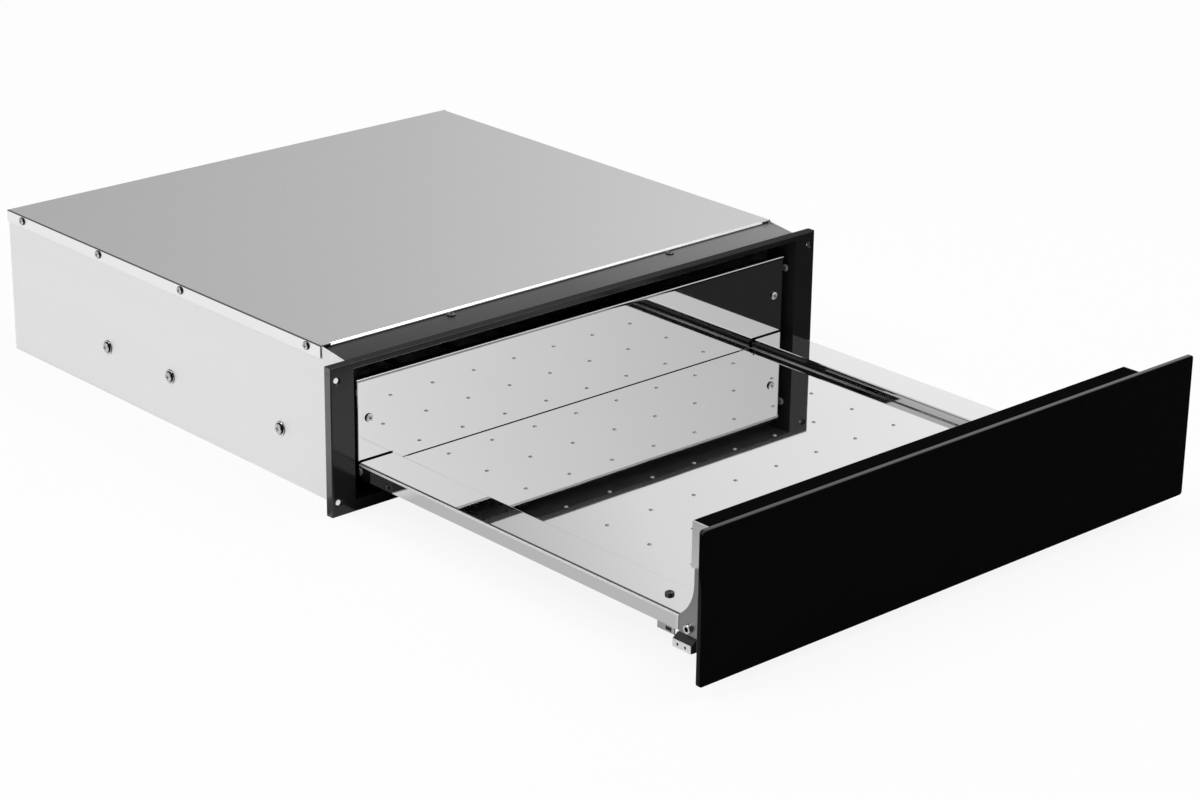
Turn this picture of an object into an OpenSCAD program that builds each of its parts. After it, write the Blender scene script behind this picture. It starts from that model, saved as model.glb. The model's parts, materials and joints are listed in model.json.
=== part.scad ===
// Built-in warming drawer, drawn with the drawer pulled fully open.
// X runs along the width, Y runs back into the cabinet, Z is up.
// Y = 0 is the plane where the front frame bears on the cabinet, Z = 0 is the cabinet floor.

/* [Casing] */
// How far the front frame reaches past the casing on each side
frame_lap = 20.5; // [16:0.5:26]
// Depth behind the cabinet's front edge
casing_d = 536; // [516:1:560]
// Height with the cover on
casing_h = 145; // [142:1:156]
// Sheet of the base, the sides and the back
sheet_t = 1.2; // [0.8:0.1:1.5]
// Sheet of the top cover
cover_t = 1; // [0.8:0.1:1.2]
// Height of the cover's folded flanges
cover_flange_h = 12; // [11:0.5:16]
// Depth of the electrics bay behind the partition
bay_d = 60; // [55:1:70]

/* [Front frame] */
// Width of the front frame
frame_w = 595; // [585:1:610]
// How far the top of the front frame lies below the top of the cover
frame_drop = 5; // [4:0.5:9]
// Depth of the frame's rim in front of the cabinet
frame_d = 9; // [6:0.5:12]
// Sheet of the frame's face and rim
frame_t = 1.5; // [1:0.1:2]
// Thickness of the walls that line the opening
reveal_t = 2.8; // [2:0.1:4]
// Height of the frame's rail above the opening
top_rail_h = 6; // [5:0.5:8]
// Height of the frame's rail below the opening
bottom_rail_h = 11; // [9:0.5:12]
// Diameter of the cabinet screw holes
mount_hole_d = 5; // [4:0.1:6]

/* [Drawer] */
// How far the drawer opens
travel = 457; // [430:1:458]
// Gap between the closed glass and the frame
front_gap = 1; // [1:0.5:3]
// Height of the tray floor above the cabinet floor
floor_z = 34; // [34:0.5:36]
// Rise from the tray floor to its side ledges
ledge_rise = 8; // [7:0.5:10]
// Width of the tray's side ledges
ledge_w = 40; // [40:0.5:44]
// Height of the tray's outer side skirts
skirt_h = 14; // [12:0.5:14]
// Sheet of the tray and its rear wall
tray_t = 1; // [0.8:0.1:1]
// Gap above the tray's rear wall in the opening
wall_top_gap = 15; // [9:1:34]

/* [Front] */
// Width of the glass
glass_w = 595; // [580:1:610]
// Height of the glass
glass_h = 132.5; // [128:0.5:136]
// Height of the glass's lower edge
glass_z = 9.5; // [6:0.5:12]
// Thickness of the glass
glass_t = 5; // [4:0.5:6]
// Depth of the inner front behind the glass
shell_d = 43; // [41:1:51]

/* [Slides] */
// Width of a fixed slide rail, lying flat under the ledge
rail_w = 37; // [36.6:0.1:37]
// Sheet of the slide rails
rail_t = 1.2; // [1:0.1:1.2]
// Ball diameter of the slides
ball_d = 2.1; // [1.8:0.1:2.1]

/* [Heating and air] */
// Diameter of the heating tube
heater_d = 6.5; // [6:0.1:7]
// Size of the square fan
fan_size = 80; // [70:1:80]
// Thickness of the fan
fan_t = 25; // [24:0.5:28]

/* [Hidden] */

steel = "#D6D7D9";
cover_grey = "#B4B5B7";
frame_black = "#1B1B1D";
bridge_grey = "#3C3C3E";
mirror_steel = "#CFD0D1";
zinc = "#A9AAAC";
plastic_black = "#151516";
glass_black = "#08080A";

cut = 1;
seat = 0.3;
screw_gap = 0.25;
fit_gap = 0.05;

// Casing planes
half_w = frame_w / 2 - frame_lap;
frame_h = casing_h - frame_drop;
side_out = half_w - cover_t;
side_in = side_out - sheet_t;
back_out = casing_d - cover_t;
back_in = back_out - sheet_t;
cover_under_z = casing_h - cover_t;
upstand_h = 14;
upstand_in = side_in - sheet_t;
partition_t = 1;
partition_y = back_in - bay_d;
bay_y = partition_y + partition_t;

// Front frame and the bridge that joins it to the cover
open_x = side_in - reveal_t;
open_z0 = bottom_rail_h;
open_z1 = frame_h - top_rail_h;
reveal_end_y = 30.5;
mount_hole_side = 7;
mount_hole_end = 13;
mount_x = frame_w / 2 - mount_hole_side;
bridge_t = 1.2;
bridge_flat_y = 20;
bridge_lip = 12;
hem_t = 3;
hem_d = 5.5;
hem_notch = 9;
bridge_z = casing_h - hem_t;

// Screws with pan heads
pan_d = 8;
pan_h = 2.2;
shank_d = 3.5;
hole_d = shank_d + 2 * screw_gap;
recess_w = 0.9;
rim_share = 0.55;
recess_share = 0.6;
recess_deep_share = 0.5;
cover_screw_drop = 5.5;
cover_screw_shares = [0.097, 0.4534, 0.7034, 0.9496];
cover_screw_len = 6;
rear_screw_shares = [-0.85, 0, 0.85];
bridge_screw_shares = [-0.49, 0.49];
bridge_screw_y = 25;
frame_screw_y = 3.5;
frame_screw_shares = [0.214, 0.743];
frame_screw_len = reveal_t + sheet_t;

// Drawer planes, open
glass_back_y = -frame_d - front_gap - travel;
glass_front_y = glass_back_y - glass_t;
plate_t = 0.7;
plate_y = glass_back_y + plate_t;
shell_y = glass_back_y + shell_d;
wall_back_gap = 18.4;
wall_y = partition_y - wall_back_gap - travel;
wall_back_y = wall_y + tray_t;

// Tray
tray_side_gap = 8;
tray_x = open_x - tray_side_gap;
floor_x = tray_x - ledge_w;
ledge_z = floor_z + ledge_rise;
ledge_gap = 2.5;
ledge_back_y = wall_y - ledge_gap;
inner_back_gap = 8;
inner_back_y = wall_y - inner_back_gap;
floor_upstand = 5.5;
skirt_z = ledge_z - skirt_h;
skirt_setback = 12;
skirt_front_y = shell_y + skirt_setback;
tongue_lead = 7;
tongue_y = shell_y - tongue_lead;
tongue_x = tray_x - tray_t - seat / 2;
floor_tail = 13.6;
floor_back_y = wall_y + floor_tail;
lip_h = 12;
dot_h = 0.9;
dot_d = 4;
dot_r = (dot_d * dot_d / 4 + dot_h * dot_h) / (2 * dot_h);
dot_cols = 8;
dot_side_share = 0.79;
dot_pitch_x = 2 * floor_x * dot_side_share / (dot_cols - 1);
dot_pitch_y = 52.5;
dot_first = 20.9;
dot_rows = floor((wall_y - shell_y - dot_first) / dot_pitch_y) + 1;
dot_root_share = 0.5;

// Rear wall of the tray
wall_side_gap = 9;
wall_top_z = open_z1 - wall_top_gap;
wall_x = open_x - wall_side_gap;
wall_notch_gap = 1;
wall_notch_z = ledge_z + wall_notch_gap;
wall_top_fold = 7;
wall_side_fold = 9;
wall_screw_inset = 12.5;
wall_screw_x = wall_x - wall_screw_inset;
wall_bracket_t = 1.5;
wall_bracket_w = 54;
wall_bracket_gap = 1;
wall_bracket_out = wall_x - tray_t - wall_bracket_gap;
wall_bracket_in = wall_bracket_out - wall_bracket_w;
wall_bracket_drop = 19;
wall_bracket_top = wall_top_z - wall_bracket_drop;
wall_screw_share = 0.667;
wall_screw_z = wall_notch_z + (wall_bracket_top - wall_notch_z) * wall_screw_share;
foot_t = 1.5;
foot_w = 14;
foot_d = 11;
wall_screw_len = 6;

// Push latch in the middle of the partition
latch_z = 80;
latch_w = 22;
latch_h = 24;
latch_d = 37;
plunger_d = 8;
plunger_travel = 6;
plunger_reach = 7.3;
plunger_len = 24;
plunger_head_d = 10;
plunger_head_t = 2;
plunger_hole_gap = 1.5;
striker_w = 16;
striker_h = 16;
striker_gap = 0.5;
striker_end_y = partition_y - plunger_reach - striker_gap - travel;

// Slides, lying flat under the ledges
rail_side_gap = 0.5;
rail_x = tray_x - tray_t - rail_side_gap - rail_w / 2;
rail_z = 25.5;
rail_wall_top = 38.5;
curl_w = 3;
rail_front_y = 47;
rail_back_gap = 1.8;
rail_back_y = partition_y - rail_back_gap;
function along_rail(share) = rail_front_y + (rail_back_y - rail_front_y) * share;
web_t = 0.3;
ball_gap = 0.3;
cage_t = 0.7;
mid_z = rail_z + rail_t + 3 * ball_gap;
mid_half = rail_w / 2 - rail_t - ball_d - 2 * ball_gap;
mid_front_y = 18;
mid_back_gap = 14;
mid_len = rail_back_y - mid_front_y - mid_back_gap;
mid_open_y = mid_front_y - travel / 2;
stop_d = 3;
stop_h = 1.6;
stop_inset = 2;
inner_ball_gap = 0.3;
inner_web_t = 0.5;
inner_half = mid_half - rail_t - ball_d - 2 * inner_ball_gap;
inner_top_z = ledge_z - tray_t;
inner_low_z = mid_z + rail_t + inner_ball_gap + inner_web_t + inner_ball_gap;
inner_setback = 17;
inner_front_y = shell_y + inner_setback;
cage_margin = 13.5;
ball_pitch = 20;
ball_z = 34;
cage_h = 6;
bracket_t = 1.5;
bracket_w = 34;
bracket_shares = [0.113, 0.515, 0.758];
bracket_top_z = 58;
bracket_inset = 6;
bracket_in = rail_x - bracket_inset;
bracket_screw_z = 48;
bracket_head_d = 9.5;
bracket_flange_d = 13.5;
bracket_flange_t = 1;
bracket_head_h = 2.4;
bracket_screw_through = 1.5;
bracket_screw_len = sheet_t + bracket_t + bracket_screw_through;
tray_screw_d = 8;
tray_screw_h = 2.8;
tray_screw_len = 4;
tray_screw_setback = 43.4;
tray_screw_y = shell_y + tray_screw_setback;
lip_screw_shares = [-0.86, -0.29, 0.29, 0.86];
lip_screw_rise = 7;
lip_screw_z = floor_z + lip_screw_rise;
tab_setback = 4;
tab_y = skirt_front_y + tab_setback;
tab_len = 20;
tab_h = 6;
tab_t = 1.2;
tab_slot = [7, 3.6];
tab_slot_inset = 7;

// Inner front, its ends and its brackets
shell_side_gap = 9;
shell_top_gap = 8;
shell_t = 1;
shell_x = open_x - shell_side_gap;
cap_t = 1.2;
shell_body_x = shell_x - cap_t;
shell_z1 = open_z1 - shell_top_gap;
shell_z0 = 24;
shell_notch_gap = 1;
shell_notch_x = floor_x - 2 * shell_notch_gap;
shell_notch_z = rail_wall_top + shell_notch_gap;
plate_side = 9.5;
plate_low = 4;
plate_high = 4;
glass_r = 3;
gusset_t = 1.2;
gusset_foot_z = 22;
gusset_arm_z = 87;
gusset_foot_gap = 1;
gusset_foot_y = skirt_front_y - gusset_foot_gap;
gusset_arm_inset = 5;
gusset_arm_y = shell_y - gusset_arm_inset;
gusset_fillet = 36;
gusset_fillet_z = 72.6;
cap_lap = 1;
cap_z = gusset_arm_z - cap_lap;
shell_waist_in = 4;
shell_waist_x = shell_body_x - shell_waist_in;
gusset_flange_len = 27;
gusset_flange_w = 18;
gusset_flange_x = shell_x - gusset_flange_w;
bolt_d = 8;
bolt_h = 3;
bolt_socket_d = 4.6;
bolt_socket_h = 2;
bolt_shank_d = 4;
bolt_len = 4.4;
bolt_inset = 0.5;
bolt_y = shell_y - bolt_inset;
bolt_z = 33.5;
catch_w = 23;
catch_in = shell_x - catch_w;
catch_z = 16;
catch_len = 22;
catch_lead = 1;
catch_back_y = gusset_foot_y + catch_lead;
catch_reach = 5.6;
catch_out = shell_x + gusset_t + catch_reach;
catch_side_h = 7.4;
catch_slope_h = 11.5;
strip_t = 0.8;
strip_inset = 0.6;
strip_hole_d = 2.6;
strip_hole_shares = [0.3, 0.72];
buffer_sink = 0.4;

// Controls on the rear face of the inner front
knob_inset = 47.8;
knob_x = shell_body_x - knob_inset;
control_share = 0.3625;
lamp_share = 0.675;
lip_top = floor_z + lip_h;
control_z = lip_top + (shell_z1 - lip_top) * control_share;
knob_d = 32;
knob_skirt_d = 36;
knob_h = 15;
knob_skirt_h = 3;
knob_gap = 2.5;
knob_recess_d = 19;
knob_recess_h = 5;
knob_grip_w = 9;
knob_cap_t = 2;
knob_mark_w = 1.6;
shaft_d = 6;
shaft_in = 20;
regulator_w = 36;
regulator_d = 28;
regulator_gap = 3;
bushing_d = 9;
bushing_out = 4;
nut_d = 15;
nut_h = 2.4;
switch_pitch = 44;
switch_x = knob_x - switch_pitch;
switch_w = 13.8;
switch_h = 21;
switch_flange = 1.2;
switch_flange_t = 2;
switch_body_d = 20;
switch_wall = 1.2;
rocker_gap = 0.4;
rocker_t = 5;
rocker_tilt = 7;
rocker_pin_d = 2;
rocker_pocket_d = 8;
rocker_pin_len = 0.9;
lamp_z = lip_top + (shell_z1 - lip_top) * lamp_share;
lamp_d = 8;
lamp_flange_h = 1;
lamp_body_d = 6;
lamp_body_len = 12;

// Heating below the tray
mat_side_gap = 24;
mat_x = bracket_in - mat_side_gap;
mat_y0 = 50;
mat_back_gap = 12;
mat_y1 = partition_y - mat_back_gap;
mat_t = 3;
reflector_t = 0.8;
heater_z = 13;
heater_runs = 6;
heater_side_gap = 39;
heater_pitch = 2 * (mat_x - heater_side_gap) / (heater_runs - 1);
heater_y0 = 105;
heater_back_gap = 65;
heater_y1 = mat_y1 - heater_back_gap;
heater_tail = 8;
heater_pin_d = 3;
heater_pin_len = 9;
support_t = 1.2;
support_shares = [0.05, 0.5, 0.95];
support_top = 3.6;
support_side_gap = 9;
support_x = mat_x - support_side_gap;

// Electrics bay
fan_x = -130;
fan_z = 72;
fan_wall = 2;
fan_hub_d = 32;
motor_t = 7.8;
strut_w = 5;
strut_t = 3;
strut_count = 4;
wheel_gap = 1.2;
wheel_front_gap = 2.2;
wheel_back_gap = 0.5;
blade_count = 7;
blade_t = 1.4;
blade_tilt = 35;
blade_chord = 13;
fan_shaft_d = 4;
fan_shaft_len = 5.5;
fan_corner = 4.25;
fan_screw_d = 3.8;
cutout_x = 60;
cutout_z = 40;
cutout_d = 16;
cutout_h = 8;
cutout_ear = [26, 7, 1.2];
cutout_tab = [6.3, 9, 0.8];
cutout_tab_gap = 5;
block_side_gap = 103.6;
block_x = upstand_in - block_side_gap;
block_size = [46, 22, 20];
block_back = 12;
block_ways = 3;
block_well_d = 6;
block_well_h = 7;
block_bore_d = 4.5;
gland_x = block_x + block_size[0] / 2;
gland_z = 52;
gland_d = 16;
gland_flange_d = 24;
gland_flange_t = 4;
gland_nose_d = 14;
gland_nose = 12;
gland_in = 12;
gland_nut_d = 24;
gland_nut_t = 5;
gland_bore_d = 8;
vent_slot = [36, 4];
vent_rows = 4;
vent_pitch_z = 12;
vent_cols = 4;
vent_x = 45;
vent_pitch_share = 0.21;
vent_pitch_x = (upstand_in - vent_x) * vent_pitch_share;
vent_z = 66;

$fn = 64;

// A box between two corners
module block(x0, x1, y0, y1, z0, z1) {
  translate([x0, y0, z0])
    cube([x1 - x0, y1 - y0, z1 - z0]);
}

// A rod along X, Y or Z
module rod_x(d, x0, x1) {
  translate([x0, 0, 0])
    rotate([0, 90, 0])
      cylinder(d = d, h = x1 - x0);
}

module rod_y(d, y0, y1) {
  translate([0, y1, 0])
    rotate([90, 0, 0])
      cylinder(d = d, h = y1 - y0);
}

module rod_z(d, z0, z1) {
  translate([0, 0, z0])
    cylinder(d = d, h = z1 - z0);
}

// What is drawn on the right, moved to the left-hand side
module on_left() {
  mirror([1, 0, 0])
    children();
}

module both_sides() {
  children();
  on_left()
    children();
}

// A screw along Z: the head stands on z = 0 and the shank goes down
module screw(head_d, head_h, shank, len) {
  difference() {
    union() {
      rod_z(head_d, 0, head_h * rim_share);
      translate([0, 0, head_h * rim_share])
        dome(head_d, head_h * (1 - rim_share));
      rod_z(shank, -len, 0);
    }
    for (turn = [0, 90])
      rotate([0, 0, turn])
        block(-head_d * recess_share / 2, head_d * recess_share / 2,
          -recess_w / 2, recess_w / 2, head_h * recess_deep_share, head_h + cut);
  }
}

// A shallow dome of base diameter d and height h, standing on z = 0
module dome(d, h) {
  r = (d * d / 4 + h * h) / (2 * h);
  intersection() {
    translate([0, 0, h - r])
      sphere(r = r);
    rod_z(d, 0, h);
  }
}

// Screws facing out to +X, -X, -Y, +Y
module face_x() {
  rotate([0, 90, 0])
    children();
}

module face_minus_x() {
  rotate([0, -90, 0])
    children();
}

module face_minus_y() {
  rotate([90, 0, 0])
    children();
}

module face_y() {
  rotate([-90, 0, 0])
    children();
}

module pan_screw(len) {
  screw(pan_d, pan_h, shank_d, len);
}

module base_pan() {
  color(steel) {
    block(-side_out, side_out, 0, back_out, 0, sheet_t);
    both_sides()
      block(upstand_in, side_in, reveal_end_y + seat, back_in, 0, upstand_h);
    block(-side_in, side_in, back_in - sheet_t, back_in, 0, upstand_h);
  }
}

module side_outline() {
  polygon([[0, sheet_t], [back_out, sheet_t], [back_out, cover_under_z],
    [reveal_end_y, cover_under_z], [0, frame_h]]);
}

module side_panel() {
  color(steel)
    difference() {
      translate([side_in, 0, 0])
        rotate([90, 0, 90])
          linear_extrude(sheet_t)
            side_outline();
      for (share = cover_screw_shares)
        translate([0, casing_d * share, casing_h - cover_screw_drop])
          rod_x(hole_d, side_in - cut, side_out + cut);
      for (share = bracket_shares)
        translate([0, along_rail(share), bracket_screw_z])
          rod_x(hole_d, side_in - cut, side_out + cut);
      for (share = frame_screw_shares)
        translate([0, frame_screw_y, frame_h * share])
          rod_x(hole_d, side_in - cut, side_out + cut);
    }
}

module vent_field() {
  for (i = [0 : vent_cols - 1], j = [0 : vent_rows - 1])
    translate([vent_x + i * vent_pitch_x, 0, vent_z + j * vent_pitch_z])
      children();
}

module rear_panel() {
  color(steel)
    difference() {
      block(-side_in, side_in, back_in, back_out, sheet_t, cover_under_z);
      on_left()
        vent_field()
          block(0, vent_slot[0], back_in - cut, back_out + cut, 0, vent_slot[1]);
      translate([gland_x, 0, gland_z])
        rod_y(gland_d + 2 * screw_gap, back_in - cut, back_out + cut);
      for (share = rear_screw_shares)
        translate([side_in * share, 0, casing_h - cover_screw_drop])
          rod_y(hole_d, back_in - cut, back_out + cut);
    }
}

module top_cover() {
  color(cover_grey)
    difference() {
      union() {
        block(-half_w, half_w, reveal_end_y, casing_d, cover_under_z, casing_h);
        both_sides()
          block(side_out, half_w, reveal_end_y, casing_d, casing_h - cover_flange_h, casing_h);
        block(-half_w, half_w, back_out, casing_d, casing_h - cover_flange_h, casing_h);
        block(-side_in + hem_notch, side_in - hem_notch, reveal_end_y,
          reveal_end_y + hem_d, casing_h - hem_t, casing_h);
      }
      both_sides()
        for (share = cover_screw_shares)
          translate([0, casing_d * share, casing_h - cover_screw_drop])
            rod_x(hole_d, side_out - cut, half_w + cut);
      for (share = rear_screw_shares)
        translate([side_in * share, 0, casing_h - cover_screw_drop])
          rod_y(hole_d, back_out - cut, casing_d + cut);
    }
}

module casing_screws() {
  color(zinc) {
    both_sides()
      for (share = cover_screw_shares)
        translate([half_w, casing_d * share, casing_h - cover_screw_drop])
          face_x()
            pan_screw(cover_screw_len);
    for (share = rear_screw_shares)
      translate([side_in * share, casing_d, casing_h - cover_screw_drop])
        face_y()
          pan_screw(cover_screw_len);
    for (share = bridge_screw_shares)
      translate([side_in * share, bridge_screw_y, bridge_z])
        pan_screw(cover_screw_len);
  }
}

module front_frame() {
  color(frame_black)
    difference() {
      union() {
        block(-frame_w / 2, frame_w / 2, -frame_d, 0, 0, frame_h);
        block(-side_in, side_in, -frame_d, reveal_end_y, open_z0 - frame_t, open_z1 + frame_t);
      }
      block(-open_x, open_x, -frame_d - cut, reveal_end_y + cut, open_z0, open_z1);
      both_sides() {
        block(side_in, frame_w / 2 - frame_t, -frame_d + frame_t, cut, frame_t, frame_h - frame_t);
        translate([mount_x, 0, mount_hole_end])
          rod_y(mount_hole_d, -frame_d - cut, cut);
        translate([mount_x, 0, frame_h - mount_hole_end])
          rod_y(mount_hole_d, -frame_d - cut, cut);
        for (share = frame_screw_shares)
          translate([0, frame_screw_y, frame_h * share])
            rod_x(hole_d, open_x - cut, side_in + cut);
      }
      block(-side_in - cut, side_in + cut, -frame_d + frame_t, cut,
        open_z1 + frame_t, frame_h - frame_t);
      block(-side_in - cut, side_in + cut, -frame_d + frame_t, cut,
        frame_t, open_z0 - frame_t);
    }
}

module frame_top_bridge() {
  color(bridge_grey)
    difference() {
      translate([-side_in, 0, 0])
        rotate([90, 0, 90])
          linear_extrude(2 * side_in)
            polygon([[0, open_z1 + frame_t], [0, frame_h], [bridge_flat_y, bridge_z],
              [reveal_end_y + bridge_lip, bridge_z], [reveal_end_y + bridge_lip, bridge_z - bridge_t],
              [bridge_flat_y, bridge_z - bridge_t], [bridge_t, frame_h - bridge_t],
              [bridge_t, open_z1 + frame_t]]);
      for (share = bridge_screw_shares)
        translate([side_in * share, bridge_screw_y, 0])
          rod_z(hole_d, bridge_z - bridge_t - cut, bridge_z + cut);
    }
}

module frame_screws() {
  color(zinc)
    both_sides()
      for (share = frame_screw_shares)
        translate([open_x, frame_screw_y, frame_h * share])
          face_minus_x()
            pan_screw(frame_screw_len);
}

module slide_brackets() {
  color(zinc)
    for (share = bracket_shares)
      difference() {
        y = along_rail(share);
        union() {
          block(side_in - bracket_t, side_in, y - bracket_w / 2, y + bracket_w / 2,
            rail_z - bracket_t, bracket_top_z);
          block(bracket_in, side_in, y - bracket_w / 2, y + bracket_w / 2,
            rail_z - bracket_t, rail_z);
        }
        translate([0, y, bracket_screw_z])
          rod_x(hole_d, side_in - bracket_t - cut, side_in + cut);
      }
}

module slide_bracket_screws() {
  color(zinc)
    both_sides()
      for (share = bracket_shares)
        translate([side_out, along_rail(share), bracket_screw_z])
          face_x()
            union() {
              rod_z(bracket_flange_d, 0, bracket_flange_t);
              translate([0, 0, bracket_flange_t])
                screw(bracket_head_d, bracket_head_h, shank_d,
                  bracket_screw_len + bracket_flange_t);
            }
}

// Half of a channel lying open side up, from its outer half-width inwards
module channel(half, z0, z1, y0, y1) {
  block(-half, half, y0, y1, z0, z0 + rail_t);
  both_sides()
    block(half - rail_t, half, y0, y1, z0, z1);
}

module fixed_rail() {
  color(zinc)
    translate([rail_x, 0, 0]) {
      channel(rail_w / 2, rail_z, rail_wall_top, rail_front_y, rail_back_y);
      both_sides()
        block(rail_w / 2 - curl_w, rail_w / 2, rail_front_y, rail_back_y,
          rail_wall_top - rail_t, rail_wall_top);
    }
}

module middle_rail() {
  color(zinc)
    translate([rail_x, 0, 0]) {
      channel(mid_half, mid_z, rail_wall_top, mid_open_y, mid_open_y + mid_len);
      translate([0, mid_open_y + stop_inset, 0])
        rod_z(stop_d, mid_z - stop_h, mid_z);
    }
}

module inner_rail() {
  color(zinc)
    translate([rail_x, 0, 0])
      difference() {
        union() {
          block(-inner_half, inner_half, inner_front_y, inner_back_y,
            inner_top_z - rail_t, inner_top_z);
          both_sides()
            block(inner_half - rail_t, inner_half, inner_front_y, inner_back_y,
              inner_low_z, inner_top_z);
        }
        translate([0, tray_screw_y, 0])
          rod_z(hole_d, inner_top_z - rail_t - cut, inner_top_z + cut);
      }
}

// A retainer of folded strip with a row of balls down each side
module ball_cage(ball_x, web_z, thick, y0, y1) {
  count = floor((y1 - y0) / ball_pitch);
  first = (y0 + y1 - (count - 1) * ball_pitch) / 2;
  color(zinc)
    translate([rail_x, 0, 0]) {
      difference() {
        union() {
          block(-ball_x - cage_t / 2, ball_x + cage_t / 2, y0, y1, web_z, web_z + thick);
          both_sides()
            block(ball_x - cage_t / 2, ball_x + cage_t / 2, y0, y1,
              web_z, ball_z + cage_h / 2);
        }
        both_sides()
          for (i = [0 : count - 1])
            translate([0, first + i * ball_pitch, ball_z])
              rod_x(ball_d + 2 * ball_gap, ball_x - cage_t, ball_x + cage_t);
      }
      both_sides()
        for (i = [0 : count - 1])
          translate([ball_x, first + i * ball_pitch, ball_z])
            sphere(d = ball_d, $fn = 24);
    }
}

module outer_ball_cage() {
  ball_cage(mid_half + ball_gap + ball_d / 2, rail_z + rail_t + ball_gap, web_t,
    rail_front_y + cage_margin, mid_open_y + mid_len - cage_margin);
}

module inner_ball_cage() {
  ball_cage(inner_half + inner_ball_gap + ball_d / 2, mid_z + rail_t + inner_ball_gap,
    inner_web_t, mid_open_y + cage_margin, inner_back_y - cage_margin);
}

module insulation_mat() {
  color("#E4E1D6")
    block(-mat_x, mat_x, mat_y0, mat_y1, sheet_t, sheet_t + mat_t);
}

module heat_reflector() {
  color(mirror_steel)
    block(-mat_x, mat_x, mat_y0, mat_y1, sheet_t + mat_t, sheet_t + mat_t + reflector_t);
}

function run_x(i) = (i - (heater_runs - 1) / 2) * heater_pitch;

module half_bend(front) {
  intersection() {
    rotate_extrude()
      translate([heater_pitch / 2, 0, 0])
        circle(d = heater_d);
    if (front)
      block(-heater_pitch, heater_pitch, -heater_pitch, 0, -heater_d, heater_d);
    else
      block(-heater_pitch, heater_pitch, 0, heater_pitch, -heater_d, heater_d);
  }
}

module heating_element() {
  color("#6E6A66")
    translate([0, 0, heater_z]) {
      for (i = [0 : heater_runs - 1]) {
        last = i == 0 || i == heater_runs - 1;
        translate([run_x(i), 0, 0])
          rod_y(heater_d, heater_y0, last ? bay_y + heater_tail : heater_y1);
        if (last)
          translate([run_x(i), 0, 0])
            rod_y(heater_pin_d, bay_y + heater_tail, bay_y + heater_tail + heater_pin_len);
      }
      for (i = [0 : heater_runs - 2])
        translate([(run_x(i) + run_x(i + 1)) / 2, i % 2 == 0 ? heater_y0 : heater_y1, 0])
          half_bend(i % 2 == 0);
    }
}

module heater_supports() {
  base_z = sheet_t + mat_t + reflector_t;
  color(zinc)
    for (share = support_shares)
      difference() {
        y = heater_y0 + (heater_y1 - heater_y0) * share;
        block(-support_x, support_x, y - support_t / 2, y + support_t / 2,
          base_z, heater_z + heater_d / 2 + support_top);
        for (i = [0 : heater_runs - 1])
          translate([run_x(i), 0, heater_z])
            rod_y(heater_d + 2 * seat, y - support_t, y + support_t);
      }
}

module rear_partition() {
  color(steel)
    difference() {
      block(-upstand_in, upstand_in, partition_y, bay_y, sheet_t, cover_under_z);
      translate([fan_x, 0, fan_z])
        rod_y(fan_size - 2 * fan_wall, partition_y - cut, bay_y + cut);
      for (sx = [-1, 1], sz = [-1, 1])
        translate([fan_x + sx * (fan_size / 2 - fan_corner), 0,
          fan_z + sz * (fan_size / 2 - fan_corner)])
          rod_y(fan_screw_d + 2 * screw_gap, partition_y - cut, bay_y + cut);
      for (i = [0, heater_runs - 1])
        translate([run_x(i), 0, heater_z])
          rod_y(heater_d + 2 * seat, partition_y - cut, bay_y + cut);
      translate([0, 0, latch_z])
        rod_y(plunger_head_d + 2 * plunger_hole_gap, partition_y - cut, bay_y + cut);
      vent_field()
        block(0, vent_slot[0], partition_y - cut, bay_y + cut, 0, vent_slot[1]);
    }
}

module fan_corners(d, y0, y1) {
  for (sx = [-1, 1], sz = [-1, 1])
    translate([sx * (fan_size / 2 - fan_corner), 0, sz * (fan_size / 2 - fan_corner)])
      rod_y(d, y0, y1);
}

module fan_housing() {
  back = bay_y + fan_t;
  color(plastic_black)
    translate([fan_x, 0, fan_z]) {
      difference() {
        block(-fan_size / 2, fan_size / 2, bay_y, back, -fan_size / 2, fan_size / 2);
        rod_y(fan_size - 2 * fan_wall, bay_y - cut, back + cut);
        fan_corners(fan_screw_d + 2 * screw_gap, bay_y - cut, back + cut);
      }
      difference() {
        union() {
          rod_y(fan_hub_d, back - motor_t, back);
          for (i = [0 : strut_count - 1])
            rotate([0, 45 + i * 360 / strut_count, 0])
              block(-strut_w / 2, strut_w / 2, back - strut_t, back,
                fan_hub_d / 4, fan_size / 2);
        }
        rod_y(fan_shaft_d + 2 * fit_gap, back - motor_t - cut,
          back - motor_t - wheel_back_gap + fan_shaft_len + seat);
      }
    }
}

module fan_wheel() {
  front = bay_y + wheel_front_gap;
  back = bay_y + fan_t - motor_t - wheel_back_gap;
  mid = (front + back) / 2;
  tip_d = fan_size - 2 * fan_wall - 2 * wheel_gap;
  color("#2A2A2C")
    translate([fan_x, 0, fan_z]) {
      rod_y(fan_hub_d, front, back);
      rod_y(fan_shaft_d, back, back + fan_shaft_len);
      intersection() {
        rod_y(tip_d, front, back);
        for (i = [0 : blade_count - 1])
          rotate([0, i * 360 / blade_count, 0])
            translate([0, mid, 0])
              rotate([0, 0, blade_tilt])
                block(-blade_chord / 2, blade_chord / 2, -blade_t / 2, blade_t / 2,
                  fan_hub_d / 4, fan_size / 2);
      }
    }
}

module fan_screws() {
  color(zinc)
    for (sx = [-1, 1], sz = [-1, 1])
      translate([fan_x + sx * (fan_size / 2 - fan_corner), bay_y + fan_t,
        fan_z + sz * (fan_size / 2 - fan_corner)])
        face_y()
          screw(pan_d, pan_h, fan_screw_d, fan_t + partition_t + seat);
}

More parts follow.
